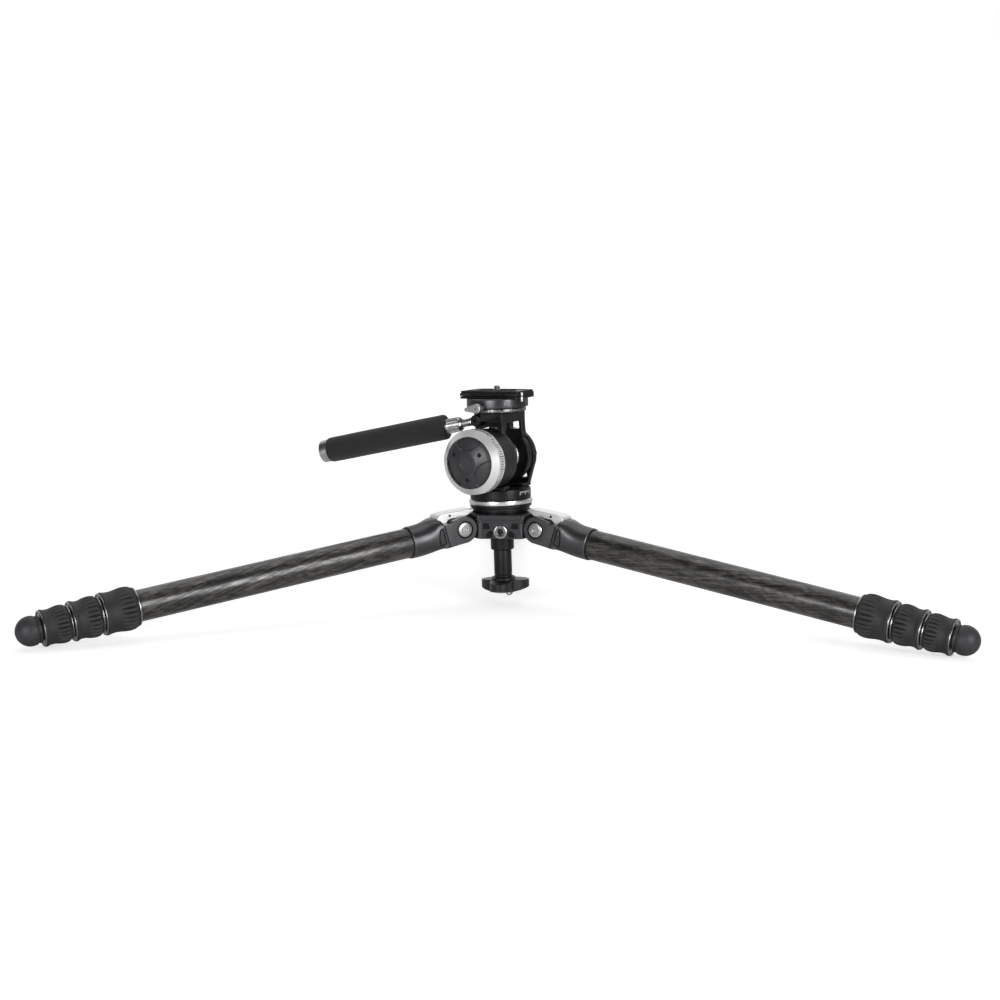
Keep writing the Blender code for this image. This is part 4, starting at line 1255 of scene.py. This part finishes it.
def plate_pads():
    """Rubber strips let into the plate's top either side of the slot."""
    pads = []
    for side in (-1, 1):
        for k in range(4):
            y = side * (6.0 + 1.9 * k)
            pads.append(soften(block((-27.0, y - 0.6, 202.4), (27.0, y + 0.6, 203.1)), 0.2, 2))
    return merge(*pads)


def plate_stops():
    """Bright stop pin at one end of the plate."""
    return rod(1.3, 197.9, 201.4, "Z", (32.4, -9.0, 0), 32, 0.4)


def clamp_catch():
    """Bright spring catch on the end of the deck, under the plate's pin."""
    return rod(1.3, 192.8, 197.5, "Z", (32.2, -9.0, 0), 32, 0.4)


def plate_screw():
    profile = [(0, 198.3), (5.7, 198.3), (6.0, 198.6), (6.0, 200.1), (5.7, 200.4), (3.1, 200.4),
               (3.1, 201.4)]
    for k in range(7):
        profile += [(2.6, 201.7 + 0.75 * k), (3.15, 202.07 + 0.75 * k)]
    profile += [(2.6, 206.9), (2.2, 207.3), (0, 207.3)]
    return cut(turned(profile, segments=64), block((-7, -0.6, 197.5), (7, 0.6, 199.2)))


def build_tilt():
    put(tilt_axle(), "tilt_axle_detail", "tilt", SILVER_Y, TILT_FRAME, ["tilt_axle"])
    put_all(HEAD_FRAME, (
        (tilt_yoke, "tilt_yoke_detail", "tilt", BLACK, "tilt_yoke"),
        (yoke_screw, "yoke_screw", "tilt", DARK)))
    put(handle_rod(), "handle_rod_detail", "handle", SILVER_X, HANDLE_FRAME, ["handle_rod"])
    put(handle_eye(), "handle_eye", "handle", BLACK, EYE_FRAME)
    put(handle_nut(), "handle_nut_detail", "handle_nut", SILVER_X, HANDLE_FRAME, ["handle_nut"])
    grip = put(handle_grip(), "foam_grip", "grip", FOAM, HANDLE_FRAME, ["handle_grip"])
    put(handle_end_cap(), "handle_cap_detail", "grip", SILVER_X, HANDLE_FRAME, ["handle_end_cap"])
    put_all(HEAD_FRAME, (
        (clamp_base_ring, "clamp_ring_detail", "tilt", CLAMP_SCALE, "clamp_base_ring"),
        (index_notch, "clamp_index", "tilt", DARK),
        (clamp_body, "clamp_drum_detail", "clamp", GREY, "clamp_body"),
        (clamp_deck, "clamp_deck", "clamp", BLACK),
        (clamp_catch, "clamp_catch", "clamp", SILVER_Z),
        (clamp_socket_screw, "clamp_screw", "clamp", GREY),
        (clamp_jaw, "clamp_jaw_detail", "clamp_jaw", BLACK, "clamp_jaw")))
    put(clamp_lever(), "lever_detail", "clamp_lever", SILVER_Y, HEAD_FRAME @ shift(0, 0, LEVER_Z),
        ["clamp_lever"])
    put(release_plate(), "plate_detail", "plate", BLACK, HEAD_FRAME, ["quick_release_plate"])
    put(plate_pads(), "plate_pads", "plate", DARK, HEAD_FRAME)
    put(plate_stops(), "plate_stops", "plate", SILVER_Z, HEAD_FRAME)
    put(plate_screw(), "plate_screw_detail", "plate_screw", SILVER_Z, HEAD_FRAME, ["plate_screw"])


# ---------------------------------------------------------------- camera, light, floor

CAMERA_AZIMUTH = 31.0
CAMERA_ELEVATION = 8.5
CAMERA_DISTANCE = 1.6697
CAMERA_HEIGHT = 0.0713
DIM_SIDE = 0.05
# name, degrees to the right of the camera, height, distance, size, power
SOFTBOXES = (
    ("right_strip", 38, 0.5, 1.7, (0.5, 0.9), 14),
    ("left_box", -28, 0.40, 1.8, (0.7, 0.6), 12),
    ("top_box", 170, 2.1, 0.3, (1.6, 1.6), 9),
)


def linked(name, data):
    obj = bpy.data.objects.new(name, data)
    bpy.context.scene.collection.objects.link(obj)
    return obj


def build_camera():
    """Camera 1.67 m from the hub, 31 degrees round from the front and 8.5 degrees up."""
    level, rise = polar(CAMERA_DISTANCE, CAMERA_ELEVATION)
    back = Vector((*polar(level, CAMERA_AZIMUTH - 90), rise))
    data = bpy.data.cameras.new("camera")
    data.lens = 62.68
    data.sensor_width = 36.0
    camera = linked("camera", data)
    look = (-back).to_track_quat("-Z", "Y").to_matrix()
    for degrees, axis in ((0.357, "Z"), (0.885, "X"), (0.03, "Y")):
        look = look @ Matrix.Rotation(math.radians(degrees), 3, axis)
    target = Vector((HUB_AXIS.x, HUB_AXIS.y, CAMERA_HEIGHT))
    camera.matrix_world = Matrix.Translation(target + back) @ look.to_4x4()
    bpy.context.scene.camera = camera


def softbox(name, azimuth, height, reach, size, power):
    """Area light that faces the middle of the object."""
    data = bpy.data.lights.new(name, "AREA")
    data.shape = "RECTANGLE"
    data.size, data.size_y = size
    data.energy = power
    x, y = polar(reach, CAMERA_AZIMUTH - 90 + azimuth)
    place = Vector((HUB_AXIS.x + x, HUB_AXIS.y + y, height))
    aim = Vector((HUB_AXIS.x, HUB_AXIS.y, 0.10)) - place
    facing = aim.to_track_quat("-Z", "Y").to_matrix().to_4x4()
    linked(name, data).matrix_world = Matrix.Translation(place) @ facing


def build_floor():
    """Pale floor that glows towards its edges, for the camera much more than for the object."""
    n = Look("floor_white", Roughness=0.8, Specular_IOR_Level=0.1, Emission_Color=(1.0, 1.0, 1.0, 1.0))
    n.link(n.ramp(n.noise(0.8, 2.0), (0.80, 0.80, 0.80), (0.82, 0.82, 0.82)), n.shader["Base Color"])
    reach = n.node("VectorMath", operation="LENGTH")
    n.link(n.place, reach.inputs[0])
    glow = n.smoothstep(reach.outputs["Value"], 0.3, 3.0, 0.60, 0.97)
    seen = n.math("MULTIPLY_ADD", n.node("LightPath").outputs["Is Camera Ray"], 0.96, 0.04)
    n.link(n.math("MULTIPLY", glow, seen), n.shader["Emission Strength"])
    bm = bmesh.new()
    bmesh.ops.create_grid(bm, x_segments=2, y_segments=2, size=20.0)
    mesh = bpy.data.meshes.new("floor")
    bm.to_mesh(mesh)
    bm.free()
    mesh.materials.append(n.material)
    floor = linked("floor", mesh)
    floor.location.z = CAD_BOX[0].z - 0.0002


def build_world():
    """White to the camera; as a light, a white backdrop behind the object and dim elsewhere."""
    world = bpy.data.worlds.new("studio")
    world.use_nodes = True
    n = Graph(world.node_tree)
    seen = n.tree.nodes["Background"]
    fill = n.node("Background")
    for background in (seen, fill):
        background.inputs[0].default_value = (1.0, 1.0, 1.0, 1.0)
        background.inputs[1].default_value = 1.0
    toward = n.node("VectorMath", operation="DOT_PRODUCT")
    toward.inputs[1].default_value = (*polar(-1.0, CAMERA_AZIMUTH - 90), 0.0)
    n.link(n.node("TexCoord").outputs["Generated"], toward.inputs[0])
    n.link(n.smoothstep(toward.outputs["Value"], 0.1, 0.85, DIM_SIDE, 1.0), fill.inputs[1])
    mix = n.node("MixShader")
    n.link(n.node("LightPath").outputs["Is Camera Ray"], mix.inputs[0])
    n.link(fill.outputs[0], mix.inputs[1])
    n.link(seen.outputs[0], mix.inputs[2])
    n.link(mix.outputs[0], n.tree.nodes["World Output"].inputs[0])
    bpy.context.scene.world = world
    bpy.context.scene.view_settings.view_transform = "Standard"


build_camera()
build_floor()
build_world()
for box in SOFTBOXES:
    softbox(*box)
for number in LEGS:
    build_leg(number)
build_hub()
build_pan()
build_tilt()
